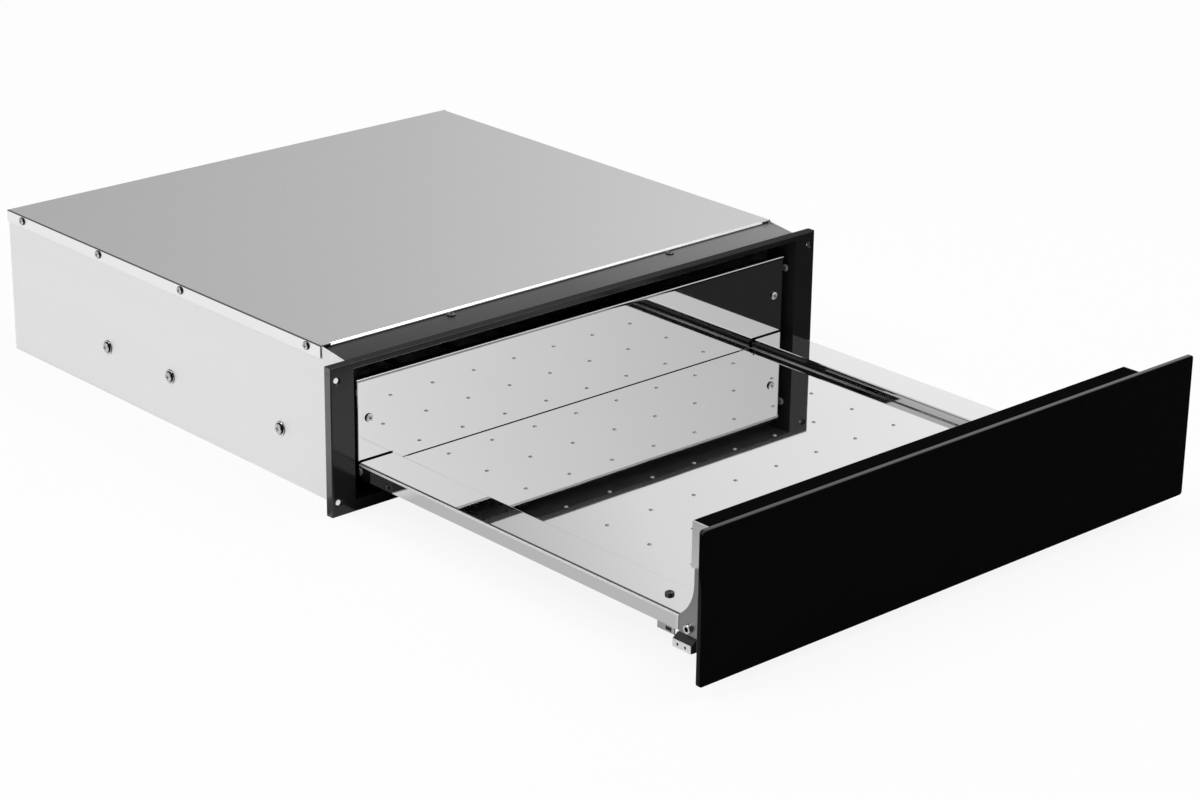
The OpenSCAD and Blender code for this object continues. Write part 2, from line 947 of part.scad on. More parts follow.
module thermal_cutout() {
  color("#C9C4B8")
    translate([cutout_x, 0, cutout_z]) {
      rod_y(cutout_d, bay_y, bay_y + cutout_h);
      block(-cutout_ear[0] / 2, cutout_ear[0] / 2, bay_y, bay_y + cutout_ear[2],
        -cutout_ear[1] / 2, cutout_ear[1] / 2);
      both_sides()
        block(cutout_tab_gap, cutout_tab_gap + cutout_tab[2], bay_y + cutout_h - seat,
          bay_y + cutout_h + cutout_tab[1], -cutout_tab[0] / 2, cutout_tab[0] / 2);
    }
}

module terminal_block() {
  color("#E8E6DF")
    translate([block_x, back_in - sheet_t - block_back - block_size[1], sheet_t])
      difference() {
        cube(block_size);
        for (i = [0 : block_ways - 1])
          translate([(i + 0.5) * block_size[0] / block_ways, 0, 0]) {
            translate([0, block_size[1] / 2, 0])
              rod_z(block_well_d, block_size[2] - block_well_h, block_size[2] + cut);
            translate([0, 0, (block_size[2] - block_well_h) / 2])
              rod_y(block_bore_d, -cut, block_size[1] + cut);
          }
      }
}

module cable_gland() {
  color(plastic_black)
    translate([gland_x, 0, gland_z])
      difference() {
        union() {
          rod_y(gland_d, back_in - gland_in, back_out + gland_flange_t);
          rod_y(gland_flange_d, back_out, back_out + gland_flange_t);
          rod_y(gland_nose_d, back_out, back_out + gland_flange_t + gland_nose);
          translate([0, back_in, 0])
            rotate([90, 0, 0])
              cylinder(d = gland_nut_d, h = gland_nut_t, $fn = 6);
        }
        rod_y(gland_bore_d, back_in - gland_in - cut, back_out + gland_flange_t + gland_nose + cut);
      }
}

module latch_housing() {
  color(plastic_black)
    difference() {
      block(-latch_w / 2, latch_w / 2, bay_y, bay_y + latch_d,
        latch_z - latch_h / 2, latch_z + latch_h / 2);
      translate([0, 0, latch_z])
        rod_y(plunger_d + 2 * fit_gap, bay_y - cut,
          partition_y - plunger_reach + plunger_len + plunger_travel + 2 * cut);
    }
}

module latch_plunger() {
  front = partition_y - plunger_reach;
  color("#8C8C8E")
    translate([0, 0, latch_z]) {
      rod_y(plunger_d, front, front + plunger_len);
      rod_y(plunger_head_d, front, front + plunger_head_t);
    }
}

module tray() {
  color(mirror_steel)
    difference() {
      union() {
        block(-floor_x - tray_t, floor_x + tray_t, shell_y, floor_back_y,
          floor_z - tray_t, floor_z);
        block(-floor_x, floor_x, shell_y, shell_y + tray_t, floor_z, floor_z + lip_h);
        both_sides() {
          block(floor_x, floor_x + tray_t, shell_y, ledge_back_y, floor_z - tray_t, ledge_z);
          block(floor_x - tray_t, floor_x, shell_y, ledge_back_y, floor_z - tray_t,
            floor_z + floor_upstand);
          block(floor_x, tongue_x, shell_y, ledge_back_y, ledge_z - tray_t, ledge_z);
          block(tongue_x - tray_t, tongue_x, shell_y, skirt_front_y + tray_t, skirt_z, ledge_z);
          block(tongue_x - tray_t, tongue_x, tongue_y, skirt_front_y, skirt_z,
            shell_notch_z - seat);
          block(floor_x, tray_x, skirt_front_y, ledge_back_y, ledge_z - tray_t, ledge_z);
          block(tray_x - tray_t, tray_x, skirt_front_y, ledge_back_y, skirt_z, ledge_z);
        }
        intersection() {
          for (i = [0 : dot_cols - 1], j = [0 : dot_rows - 1])
            translate([(i - (dot_cols - 1) / 2) * dot_pitch_x,
              wall_y - dot_first - j * dot_pitch_y, floor_z + dot_h - dot_r])
              sphere(r = dot_r, $fn = 32);
          block(-floor_x, floor_x, shell_y, wall_y, floor_z - tray_t * dot_root_share,
            floor_z + dot_h + cut);
        }
      }
      both_sides()
        translate([rail_x, tray_screw_y, 0])
          rod_z(hole_d, ledge_z - tray_t - cut, ledge_z + cut);
      for (share = lip_screw_shares)
        translate([floor_x * share, 0, lip_screw_z])
          rod_y(hole_d, shell_y - cut, shell_y + tray_t + cut);
      both_sides()
        translate([0, bolt_y, bolt_z])
          rod_x(bolt_shank_d + 2 * screw_gap, tongue_x - tray_t - cut, tongue_x + cut);
    }
}

module tray_screws() {
  color(plastic_black) {
    both_sides()
      translate([rail_x, tray_screw_y, ledge_z])
        screw(tray_screw_d, tray_screw_h, shank_d, tray_screw_len);
    for (share = lip_screw_shares)
      translate([floor_x * share, shell_y + tray_t, lip_screw_z])
        face_y()
          screw(tray_screw_d, tray_screw_h, shank_d, tray_screw_len);
  }
}

module tray_rear_wall() {
  color(mirror_steel)
    difference() {
      union() {
        block(-wall_x, wall_x, wall_y, wall_back_y, floor_z, wall_top_z);
        block(-wall_x, wall_x, wall_y, wall_y + wall_top_fold, wall_top_z - tray_t, wall_top_z);
        both_sides()
          block(wall_x - tray_t, wall_x, wall_y, wall_y + wall_side_fold, wall_notch_z, wall_top_z);
      }
      both_sides() {
        block(floor_x + seat, wall_x + cut, wall_y - cut, wall_back_y + cut,
          floor_z - cut, wall_notch_z);
        translate([wall_screw_x, 0, wall_screw_z])
          rod_y(hole_d, wall_y - cut, wall_back_y + cut);
      }
    }
}

module rear_wall_screws() {
  color(zinc)
    both_sides()
      translate([wall_screw_x, wall_y, wall_screw_z])
        face_minus_y()
          pan_screw(wall_screw_len);
}

module wall_bracket() {
  color(zinc)
    difference() {
      union() {
        block(wall_bracket_in, wall_bracket_out, wall_back_y, wall_back_y + wall_bracket_t,
          wall_notch_z, wall_bracket_top);
        block(wall_bracket_in, wall_bracket_in + foot_w, wall_back_y, wall_back_y + wall_bracket_t,
          floor_z, wall_bracket_top);
        block(wall_bracket_in, wall_bracket_in + foot_w, wall_back_y, wall_back_y + foot_d,
          floor_z, floor_z + foot_t);
      }
      translate([wall_screw_x, 0, wall_screw_z])
        rod_y(hole_d, wall_back_y - cut, wall_back_y + wall_bracket_t + cut);
    }
}

module latch_striker() {
  color(plastic_black)
    block(-striker_w / 2, striker_w / 2, wall_back_y, striker_end_y,
      latch_z - striker_h / 2, latch_z + striker_h / 2);
}

module rail_end_tabs() {
  color(zinc)
    both_sides()
      difference() {
        block(tray_x - tray_t, tray_x - tray_t + tab_t, tab_y, tab_y + tab_len,
          skirt_z - tab_h, skirt_z);
        block(tray_x - tray_t - cut, tray_x + cut, tab_y + tab_slot_inset - tab_slot[0] / 2,
          tab_y + tab_slot_inset + tab_slot[0] / 2, skirt_z - tab_h / 2 - tab_slot[1] / 2,
          skirt_z - tab_h / 2 + tab_slot[1] / 2);
      }
}

module door_inner_shell() {
  color(plastic_black)
    difference() {
      union() {
        block(-shell_body_x, shell_body_x, shell_y - shell_t, shell_y, cap_z, shell_z1);
        block(-shell_waist_x, shell_waist_x, shell_y - shell_t, shell_y, shell_notch_z, cap_z);
        block(-shell_notch_x, shell_notch_x, shell_y - shell_t, shell_y, shell_z0, shell_z1);
        block(-shell_body_x, shell_body_x, plate_y, shell_y, shell_z1 - shell_t, shell_z1);
        block(-shell_notch_x, shell_notch_x, plate_y, shell_y, shell_z0, shell_z0 + shell_t);
        both_sides() {
          block(shell_notch_x - shell_t, shell_waist_x, plate_y, shell_y,
            shell_notch_z, shell_notch_z + shell_t);
          block(shell_waist_x - shell_t, shell_waist_x, plate_y, shell_y,
            shell_notch_z, cap_z + shell_t);
          block(shell_waist_x - shell_t, shell_body_x, plate_y, shell_y, cap_z, cap_z + shell_t);
          block(shell_notch_x - shell_t, shell_notch_x, plate_y, shell_y,
            shell_z0, shell_notch_z + shell_t);
        }
      }
      translate([knob_x, 0, control_z])
        rod_y(bushing_d + 2 * seat, shell_y - shell_t - cut, shell_y + cut);
      translate([switch_x, 0, control_z])
        block(-switch_w / 2 - screw_gap, switch_w / 2 + screw_gap, shell_y - shell_t - cut,
          shell_y + cut, -switch_h / 2 - screw_gap, switch_h / 2 + screw_gap);
      translate([switch_x, 0, lamp_z])
        rod_y(lamp_body_d + 2 * screw_gap, shell_y - shell_t - cut, shell_y + cut);
      for (share = lip_screw_shares)
        translate([floor_x * share, 0, lip_screw_z])
          rod_y(hole_d, shell_y - shell_t - cut, shell_y + cut);
    }
}

module end_cap() {
  color(steel)
    block(shell_body_x, shell_x, plate_y, shell_y, cap_z, shell_z1);
}

module door_front_plate() {
  color(plastic_black)
    block(-glass_w / 2 + plate_side, glass_w / 2 - plate_side, glass_back_y, plate_y,
      glass_z + plate_low, glass_z + glass_h - plate_high);
}

module glass_outline() {
  half = glass_w / 2;
  translate([-half + glass_r, 0])
    square([glass_w - 2 * glass_r, glass_h]);
  translate([-half, glass_r])
    square([glass_w, glass_h - 2 * glass_r]);
  for (x = [-half + glass_r, half - glass_r], z = [glass_r, glass_h - glass_r])
    translate([x, z])
      circle(r = glass_r);
}

module glass_front() {
  color(glass_black)
    translate([0, glass_back_y, glass_z])
      rotate([90, 0, 0])
        linear_extrude(glass_t)
          glass_outline();
}

// Side view of a door bracket: a foot along the tray, an arm up the inner front
module gusset_outline() {
  difference() {
    translate([plate_y, gusset_foot_z])
      square([gusset_foot_y - plate_y, gusset_arm_z - gusset_foot_z]);
    translate([gusset_arm_y + gusset_fillet, gusset_fillet_z])
      circle(r = gusset_fillet);
    translate([gusset_arm_y, gusset_fillet_z])
      square([gusset_foot_y - gusset_arm_y + cut, gusset_arm_z - gusset_fillet_z + cut]);
  }
}

module door_bracket() {
  color("#8E8F91")
    difference() {
      union() {
        translate([shell_x, 0, 0])
          rotate([90, 0, 90])
            linear_extrude(gusset_t)
              gusset_outline();
        block(gusset_flange_x, shell_x + gusset_t, gusset_foot_y - gusset_flange_len, gusset_foot_y,
          gusset_foot_z, gusset_foot_z + gusset_t);
      }
      translate([0, bolt_y, bolt_z])
        rod_x(bolt_shank_d + 2 * screw_gap, shell_x - cut, shell_x + gusset_t + cut);
    }
}

module door_bracket_bolts() {
  color(zinc)
    both_sides()
      translate([shell_x + gusset_t, bolt_y, bolt_z])
        face_x()
          difference() {
            union() {
              rod_z(bolt_d, 0, bolt_h);
              rod_z(bolt_shank_d, -bolt_len, 0);
            }
            translate([0, 0, bolt_h - bolt_socket_h])
              cylinder(d = bolt_socket_d, h = bolt_socket_h + cut, $fn = 6);
          }
}

// Cross-section of a catch: a block with a shoulder that slopes up to the door bracket
module catch_section() {
  polygon([
    [catch_in, catch_z],
    [catch_out, catch_z],
    [catch_out, catch_z + catch_side_h],
    [shell_x + gusset_t, catch_z + catch_slope_h],
    [shell_x + gusset_t, gusset_foot_z],
    [catch_in, gusset_foot_z]
  ]);
}

module front_catches() {
  color(plastic_black)
    both_sides()
      translate([0, catch_back_y, 0])
        rotate([90, 0, 0])
          linear_extrude(catch_len)
            catch_section();
}

module catch_strips() {
  y0 = catch_back_y - catch_len + strip_inset;
  y1 = catch_back_y - strip_inset;
  z0 = catch_z + strip_inset / 2;
  z1 = catch_z + catch_side_h - strip_inset / 2;
  color(steel)
    both_sides()
      difference() {
        block(catch_out, catch_out + strip_t, y0, y1, z0, z1);
        for (share = strip_hole_shares)
          translate([0, y0 + (y1 - y0) * share, (z0 + z1) / 2])
            rod_x(strip_hole_d, catch_out - cut, catch_out + strip_t + cut);
      }
}

// Rubber buffers pressed into the slots of the tabs
module tab_buffers() {
  hole_y = tab_y + tab_slot_inset;
  hole_z = skirt_z - tab_h / 2;
  half_y = tab_slot[0] / 2;
  half_z = tab_slot[1] / 2;
  inner = tray_x - tray_t;
  color(plastic_black)
    both_sides()
      block(inner, inner + tab_t - buffer_sink, hole_y - half_y, hole_y + half_y,
        hole_z - half_z, hole_z + half_z);
}

module heat_regulator() {
  body_y = shell_y - shell_t - regulator_gap;
  color("#D8D4C8")
    translate([knob_x, 0, control_z])
      difference() {
        union() {
          block(-regulator_w / 2, regulator_w / 2, body_y - regulator_d, body_y,
            -regulator_w / 2, regulator_w / 2);
          rod_y(bushing_d, body_y - cut, shell_y + bushing_out);
          rod_y(nut_d, body_y - cut, shell_y - shell_t);
          translate([0, shell_y + nut_h, 0])
            rotate([90, 0, 0])
              cylinder(d = nut_d, h = nut_h, $fn = 6);
        }
        rod_y(shaft_d + 2 * fit_gap, shell_y - shaft_in - seat, shell_y + bushing_out + cut);
      }
}

module regulator_shaft() {
  color(zinc)
    translate([knob_x, 0, control_z])
      rod_y(shaft_d, shell_y - shaft_in, shell_y + knob_gap + knob_h - knob_cap_t);
}

module control_knob() {
  y0 = shell_y + knob_gap;
  y1 = y0 + knob_h;
  color(plastic_black)
    translate([knob_x, 0, control_z])
      difference() {
        union() {
          rod_y(knob_skirt_d, y0, y0 + knob_skirt_h);
          intersection() {
            rod_y(knob_d, y0, y1);
            union() {
              rod_y(knob_d, y0, y0 + knob_h / 3);
              block(-knob_grip_w / 2, knob_grip_w / 2, y0, y1, -knob_d, knob_d);
            }
          }
        }
        rod_y(knob_recess_d, y0 - cut, y0 + knob_recess_h);
        rod_y(shaft_d + 2 * fit_gap, y0 - cut, y1 - knob_cap_t);
        block(-knob_mark_w / 2, knob_mark_w / 2, y1 - recess_w, y1 + cut,
          knob_recess_d / 4, knob_d);
      }
}

module switch_housing() {
  front = shell_y + switch_flange_t;
  pocket_x = switch_w / 2 - switch_wall;
  pocket_z = switch_h / 2 - switch_wall;
  color(plastic_black)
    translate([switch_x, 0, control_z])
      difference() {
        union() {
          block(-switch_w / 2 - switch_flange, switch_w / 2 + switch_flange, shell_y, front,
            -switch_h / 2 - switch_flange, switch_h / 2 + switch_flange);
          block(-switch_w / 2, switch_w / 2, shell_y - switch_body_d, front,
            -switch_h / 2, switch_h / 2);
        }
        block(-pocket_x, pocket_x, front - rocker_pocket_d - switch_flange_t, front + cut,
          -pocket_z, pocket_z);
        translate([0, shell_y, 0])
          rod_x(rocker_pin_d + 2 * fit_gap, -pocket_x - rocker_pin_len, pocket_x + rocker_pin_len);
      }
}

module switch_rocker() {
  pocket_x = switch_w / 2 - switch_wall;
  pocket_z = switch_h / 2 - switch_wall;
  half_x = pocket_x - rocker_gap;
  half_z = pocket_z - 2 * rocker_gap;
  color("#202022")
    translate([switch_x, shell_y, control_z]) {
      rotate([rocker_tilt, 0, 0])
        block(-half_x, half_x, -rocker_t / 2, rocker_t / 2 + rocker_gap, -half_z, half_z);
      rod_x(rocker_pin_d, -pocket_x - rocker_pin_len + fit_gap,
        pocket_x + rocker_pin_len - fit_gap);
    }
}

module pilot_lamp() {
  color("#D9701E")
    translate([switch_x, 0, lamp_z]) {
      rod_y(lamp_d, shell_y, shell_y + lamp_flange_h);
      translate([0, shell_y + lamp_flange_h, 0])
        face_y()
          dome(lamp_d, lamp_flange_h * 2);
      rod_y(lamp_body_d, shell_y - lamp_body_len, shell_y);
    }
}

base_pan();
on_left() side_panel();  // left_side_panel
side_panel();  // right_side_panel
rear_panel();
top_cover();
casing_screws();
front_frame();
frame_top_bridge();
frame_screws();
on_left() slide_brackets();  // left_slide_brackets
slide_brackets();  // right_slide_brackets
slide_bracket_screws();
on_left() fixed_rail();  // left_fixed_rail
fixed_rail();  // right_fixed_rail
insulation_mat();
heat_reflector();
heating_element();
heater_supports();
rear_partition();
fan_housing();
fan_wheel();
fan_screws();
thermal_cutout();
terminal_block();
cable_gland();
latch_housing();
latch_plunger();
tray();
tray_rear_wall();
rear_wall_screws();
on_left() wall_bracket();  // left_wall_bracket
wall_bracket();  // right_wall_bracket
latch_striker();
tray_screws();
on_left() middle_rail();  // left_middle_rail
middle_rail();  // right_middle_rail
on_left() inner_rail();  // left_inner_rail
inner_rail();  // right_inner_rail
on_left() outer_ball_cage();  // left_outer_ball_cage
outer_ball_cage();  // right_outer_ball_cage
on_left() inner_ball_cage();  // left_inner_ball_cage
inner_ball_cage();  // right_inner_ball_cage
rail_end_tabs();
door_inner_shell();
on_left() end_cap();  // left_end_cap
end_cap();  // right_end_cap
door_front_plate();
glass_front();
on_left() door_bracket();  // left_door_bracket
door_bracket();  // right_door_bracket
door_bracket_bolts();
front_catches();
catch_strips();
tab_buffers();
heat_regulator();
regulator_shaft();
control_knob();
switch_housing();
switch_rocker();
pilot_lamp();
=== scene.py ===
import json
import math
import random

import bmesh
import bpy
from mathutils import Matrix, Vector


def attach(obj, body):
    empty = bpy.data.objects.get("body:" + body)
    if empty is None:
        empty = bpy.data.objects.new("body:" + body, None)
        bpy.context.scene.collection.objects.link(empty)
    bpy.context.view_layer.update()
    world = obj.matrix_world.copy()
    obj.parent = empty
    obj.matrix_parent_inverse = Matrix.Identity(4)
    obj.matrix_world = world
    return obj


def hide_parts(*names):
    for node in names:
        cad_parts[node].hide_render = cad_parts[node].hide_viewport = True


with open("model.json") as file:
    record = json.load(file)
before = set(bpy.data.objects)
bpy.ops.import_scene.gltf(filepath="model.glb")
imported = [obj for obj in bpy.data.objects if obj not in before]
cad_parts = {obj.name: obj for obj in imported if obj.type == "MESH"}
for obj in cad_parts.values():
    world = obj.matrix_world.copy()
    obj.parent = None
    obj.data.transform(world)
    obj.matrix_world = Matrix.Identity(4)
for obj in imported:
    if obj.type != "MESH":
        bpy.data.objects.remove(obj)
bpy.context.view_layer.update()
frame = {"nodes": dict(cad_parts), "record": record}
MM = 0.001

# Sizes of the CAD pieces that the scene's own pieces keep to, in millimetres.
SHEET = 1.0
BEND_RADIUS = 0.5
COVER_OUT, COVER_BACK, COVER_TOP = 277.0, 536.0, 145.0
FLANGE_FOOT, FLANGE_FRONT, FLANGE_REACH = 133.0, 32.0, 3.0
HEM_OUT, HEM_FRONT, HEM_FOOT, HEM_BACK = 265.8, 30.6, 142.0, 40.0
FLOOR_TOP, LEDGE_TOP, STEP_OUT = 34.0, 42.0, 224.0
SKIRT_OUT, NECK_OUT, SKIRT_FOOT = 264.0, 262.85, 28.0
TRAY_BACK, NECK_START, NECK_END, FLOOR_FRONT = -4.1, -412.0, -424.0, -423.0
WALL_FRONT, WALL_OUT, WALL_TOP, WALL_REACH = -1.6, 263.0, 119.0, 3.4
FRAME_FACE, RIM_OUT, RIM_ROUNDING = -9.0, 297.4, 1.3
HOLE_X, HOLE_HEIGHTS = 290.5, (13.0, 127.0)
DOT_COUNT, DOT_PITCH_X, DOT_PITCH_Y, FIRST_DOT_ROW = 8, 50.6, 52.5, -22.5


# ---------------------------------------------------------------- node trees

class Nodes:
    """Adds nodes to a tree and links what is handed in as a socket."""

    def __init__(self, tree):
        self.tree = tree

    def add(self, kind, inputs=None, **settings):
        node = self.tree.nodes.new(kind)
        for name, value in settings.items():
            setattr(node, name, value)
        for key, value in (inputs or {}).items():
            if isinstance(value, bpy.types.NodeSocket):
                self.tree.links.new(value, node.inputs[key])
            else:
                node.inputs[key].default_value = value
        return node

    def math(self, operation, a, b=0.0, clamp=False):
        return self.add("ShaderNodeMath", {0: a, 1: b}, operation=operation, use_clamp=clamp).outputs[0]

    def total(self, operation, values):
        """Carries the operation over all the values, one after the other."""
        result = values[0]
        for value in values[1:]:
            result = self.math(operation, result, value)
        return result

    def product(self, *factors):
        """The factors multiplied; of masks, the part where all of them hold."""
        return self.total("MULTIPLY", factors)

    def above(self, value, limit):
        return self.math("GREATER_THAN", value, limit)

    def below(self, value, limit):
        return self.math("LESS_THAN", value, limit)

    def close_to(self, value, middle, reach):
        """1 where the value lies within reach of the middle, else 0."""
        return self.add("ShaderNodeMath", {0: value, 1: middle, 2: reach}, operation="COMPARE").outputs[0]

    def ramp(self, value, low, high, at_low=0.0, at_high=1.0, **settings):
        """Carries low to at_low and high to at_high, with no overshoot."""
        return self.add("ShaderNodeMapRange", {"Value": value, "From Min": low, "From Max": high,
                                               "To Min": at_low, "To Max": at_high}, **settings).outputs[0]

    def blend(self, factor, a, b):
        return self.add("ShaderNodeMix", {0: factor, 6: a, 7: b}, data_type="RGBA").outputs[2]

    def here(self):
        """The shaded point's X, Y and Z in metres."""
        return self.add("ShaderNodeSeparateXYZ", {0: self.add("ShaderNodeTexCoord").outputs["Object"]}).outputs


def grey(value):
    return (value, value, value, 1)


def shader_group(name, inputs, outputs):
    """A new shader node group with the named sockets: (Nodes, group input node, group output node)."""
    tree = bpy.data.node_groups.new(name, "ShaderNodeTree")
    for label, kind, value in inputs:
        tree.interface.new_socket(label, in_out="INPUT", socket_type=kind).default_value = value
    for label, kind in outputs:
        tree.interface.new_socket(label, in_out="OUTPUT", socket_type=kind)
    nodes = Nodes(tree)
    return nodes, nodes.add("NodeGroupInput"), nodes.add("NodeGroupOutput")


FLOAT, VECTOR = "NodeSocketFloat", "NodeSocketVector"


def make_rolling_grain():
    """Fine parallel lines as a rolling mill or an abrasive belt leaves them on sheet metal."""
    n, given, out = shader_group(
        "rolling_grain",
        [("Along", VECTOR, (4.0, 700.0, 700.0)), ("Depth", FLOAT, 0.5)],
        [("Lines", FLOAT), ("Bands", FLOAT)])
    place = n.add("ShaderNodeTexCoord").outputs["Object"]
    stretched = n.add("ShaderNodeVectorMath", {0: place, 1: given.outputs["Along"]}, operation="MULTIPLY")
    fine = n.add("ShaderNodeTexNoise", {"Vector": stretched.outputs[0], "Scale": 1.0, "Detail": 3.0, "Roughness": 0.6})
    wide = n.add("ShaderNodeVectorMath", {0: stretched.outputs[0], "Scale": 0.06}, operation="SCALE")
    band = n.add("ShaderNodeTexNoise", {"Vector": wide.outputs[0], "Scale": 1.0, "Detail": 2.0, "Roughness": 0.5})
    centred = n.math("SUBTRACT", fine.outputs["Fac"], 0.5)
    n.tree.links.new(n.math("MULTIPLY", centred, given.outputs["Depth"]), out.inputs["Lines"])
    n.tree.links.new(band.outputs["Fac"], out.inputs["Bands"])
    return n.tree


def make_handling_marks():
    """Soft cloudy marks from wiping and handling, with a few fine scratches."""
    n, given, out = shader_group(
        "handling_marks",
        [("Cloud Size", FLOAT, 6.0), ("Scratch Size", FLOAT, 60.0)],
        [("Clouds", FLOAT), ("Scratches", FLOAT)])
    place = n.add("ShaderNodeTexCoord").outputs["Object"]
    cloud = n.add("ShaderNodeTexNoise",
                  {"Vector": place, "Scale": given.outputs["Cloud Size"], "Detail": 4.0, "Roughness": 0.55})
    turned_place = n.add("ShaderNodeMapping", {"Vector": place, "Rotation": (0.3, 0.5, 0.7), "Scale": (1.0, 9.0, 5.0)})
    hair = n.add("ShaderNodeTexNoise",
                 {"Vector": turned_place.outputs[0], "Scale": given.outputs["Scratch Size"], "Detail": 2.0})
    n.tree.links.new(cloud.outputs["Fac"], out.inputs["Clouds"])
    n.tree.links.new(n.close_to(hair.outputs["Fac"], 0.5, 0.006), out.inputs["Scratches"])
    return n.tree


def make_fine_texture():
    """The small even texture of stoved enamel or moulded plastic, as a height, with slow changes of tone."""
    n, given, out = shader_group("fine_texture", [("Grain Size", FLOAT, 900.0)], [("Height", FLOAT), ("Tone", FLOAT)])
    place = n.add("ShaderNodeTexCoord").outputs["Object"]
    grain = n.add("ShaderNodeTexNoise",
                  {"Vector": place, "Scale": given.outputs["Grain Size"], "Detail": 2.0, "Roughness": 0.5})
    tone = n.add("ShaderNodeTexNoise", {"Vector": place, "Scale": 9.0, "Detail": 3.0})
    n.tree.links.new(grain.outputs["Fac"], out.inputs["Height"])
    n.tree.links.new(tone.outputs["Fac"], out.inputs["Tone"])
    return n.tree


rolling_grain = make_rolling_grain()
handling_marks = make_handling_marks()
fine_texture = make_fine_texture()


def start_material(name):
    """A new material with a plain surface: (material, Nodes, surface node)."""
    material = bpy.data.materials.new(name)
    material.use_nodes = True
    material.node_tree.nodes.clear()
    n = Nodes(material.node_tree)
    surface = n.add("ShaderNodeBsdfPrincipled")
    n.add("ShaderNodeOutputMaterial", {"Surface": surface.outputs["BSDF"]})
    return material, n, surface


def placed(n, group, **values):
    """Adds a node for the group, with the named values, and hands back its outputs."""
    node = n.add("ShaderNodeGroup", node_tree=group)
    for name, value in values.items():
        node.inputs[name.replace("_", " ")].default_value = value
    return node.outputs


def to(n, socket, surface, name):
    n.tree.links.new(socket, surface.inputs[name])


def paint_fold_light_and_shade(n, colour, here, side, height, front):
    """The lid's side flanges painted paler as painted light, and its folds and the hem ahead of front painted dark as
    painted shade.
    """
    aside = n.math("ABSOLUTE", here["X"])
    # painted light: the side flanges paler than the top
    colour = n.blend(n.above(aside, side + 0.7 * MM), colour, grey(0.9))
    # painted shade: the side folds and the front faces ahead of front dark
    bent = n.math("MAXIMUM", n.product(n.above(aside, side), n.above(here["Z"], height)), n.below(here["Y"], front))
    return n.blend(bent, colour, grey(0.16))


def sheet_metal(name, light, dark, rough, rough_spread, along, lines=0.35, metallic=1.0, clouds=6.0,
                recess=False, fold=None, painted_light_ramps=(), specular=0.5):
    """Rolled or brushed sheet: fine lines along one axis, slow clouds in tone and gloss, and marked recesses painted
    dark as painted shade.
    Fold holds (distance from the middle, height, Y) for paint_fold_light_and_shade; painted_light_ramps
    holds rows of (from X, to X, gain), between which the colour is painted paler as painted light."""
    material, n, surface = start_material(name)
    grain = placed(n, rolling_grain, Along=along, Depth=lines)
    marks = placed(n, handling_marks, Cloud_Size=clouds, Scratch_Size=70.0)
    mixed = n.math("ADD", n.math("MULTIPLY", marks["Clouds"], 0.6), n.math("MULTIPLY", grain["Bands"], 0.4))
    colour = n.blend(n.math("ADD", mixed, grain["Lines"], clamp=True), grey(dark), grey(light))
    if recess:
        # painted shade: faces marked as recess are painted near black
        depth = n.add("ShaderNodeAttribute", attribute_name="recess").outputs["Fac"]
        colour = n.blend(depth, colour, grey(0.012))
    here = n.here()
    # painted light and shade on the lid's flanges, folds and hem
    if fold:
        colour = paint_fold_light_and_shade(n, colour, here, *fold)
    # painted light: the colour is scaled up along X, paler towards the end of each ramp
    if painted_light_ramps:
        base_gain = 0.45
        gains = [n.ramp(here["X"], start, stop, 0.0, more) for start, stop, more in painted_light_ramps]
        gain = n.total("ADD", [base_gain] + gains)
        colour = n.add("ShaderNodeVectorMath", {0: colour, "Scale": gain}, operation="SCALE").outputs[0]
    to(n, colour, surface, "Base Color")
    spread = n.math("MULTIPLY", n.math("SUBTRACT", marks["Clouds"], 0.5), rough_spread)
    streak = n.math("MULTIPLY", grain["Lines"], rough_spread)
    to(n, n.math("ADD", n.math("ADD", spread, streak), rough, clamp=True), surface, "Roughness")
    ripple = n.add("ShaderNodeBump", {"Strength": 0.02, "Distance": 0.2 * MM, "Height": grain["Lines"]})
    to(n, ripple.outputs[0], surface, "Normal")
    surface.inputs["Metallic"].default_value = metallic
    surface.inputs["Specular IOR Level"].default_value = specular
    return material


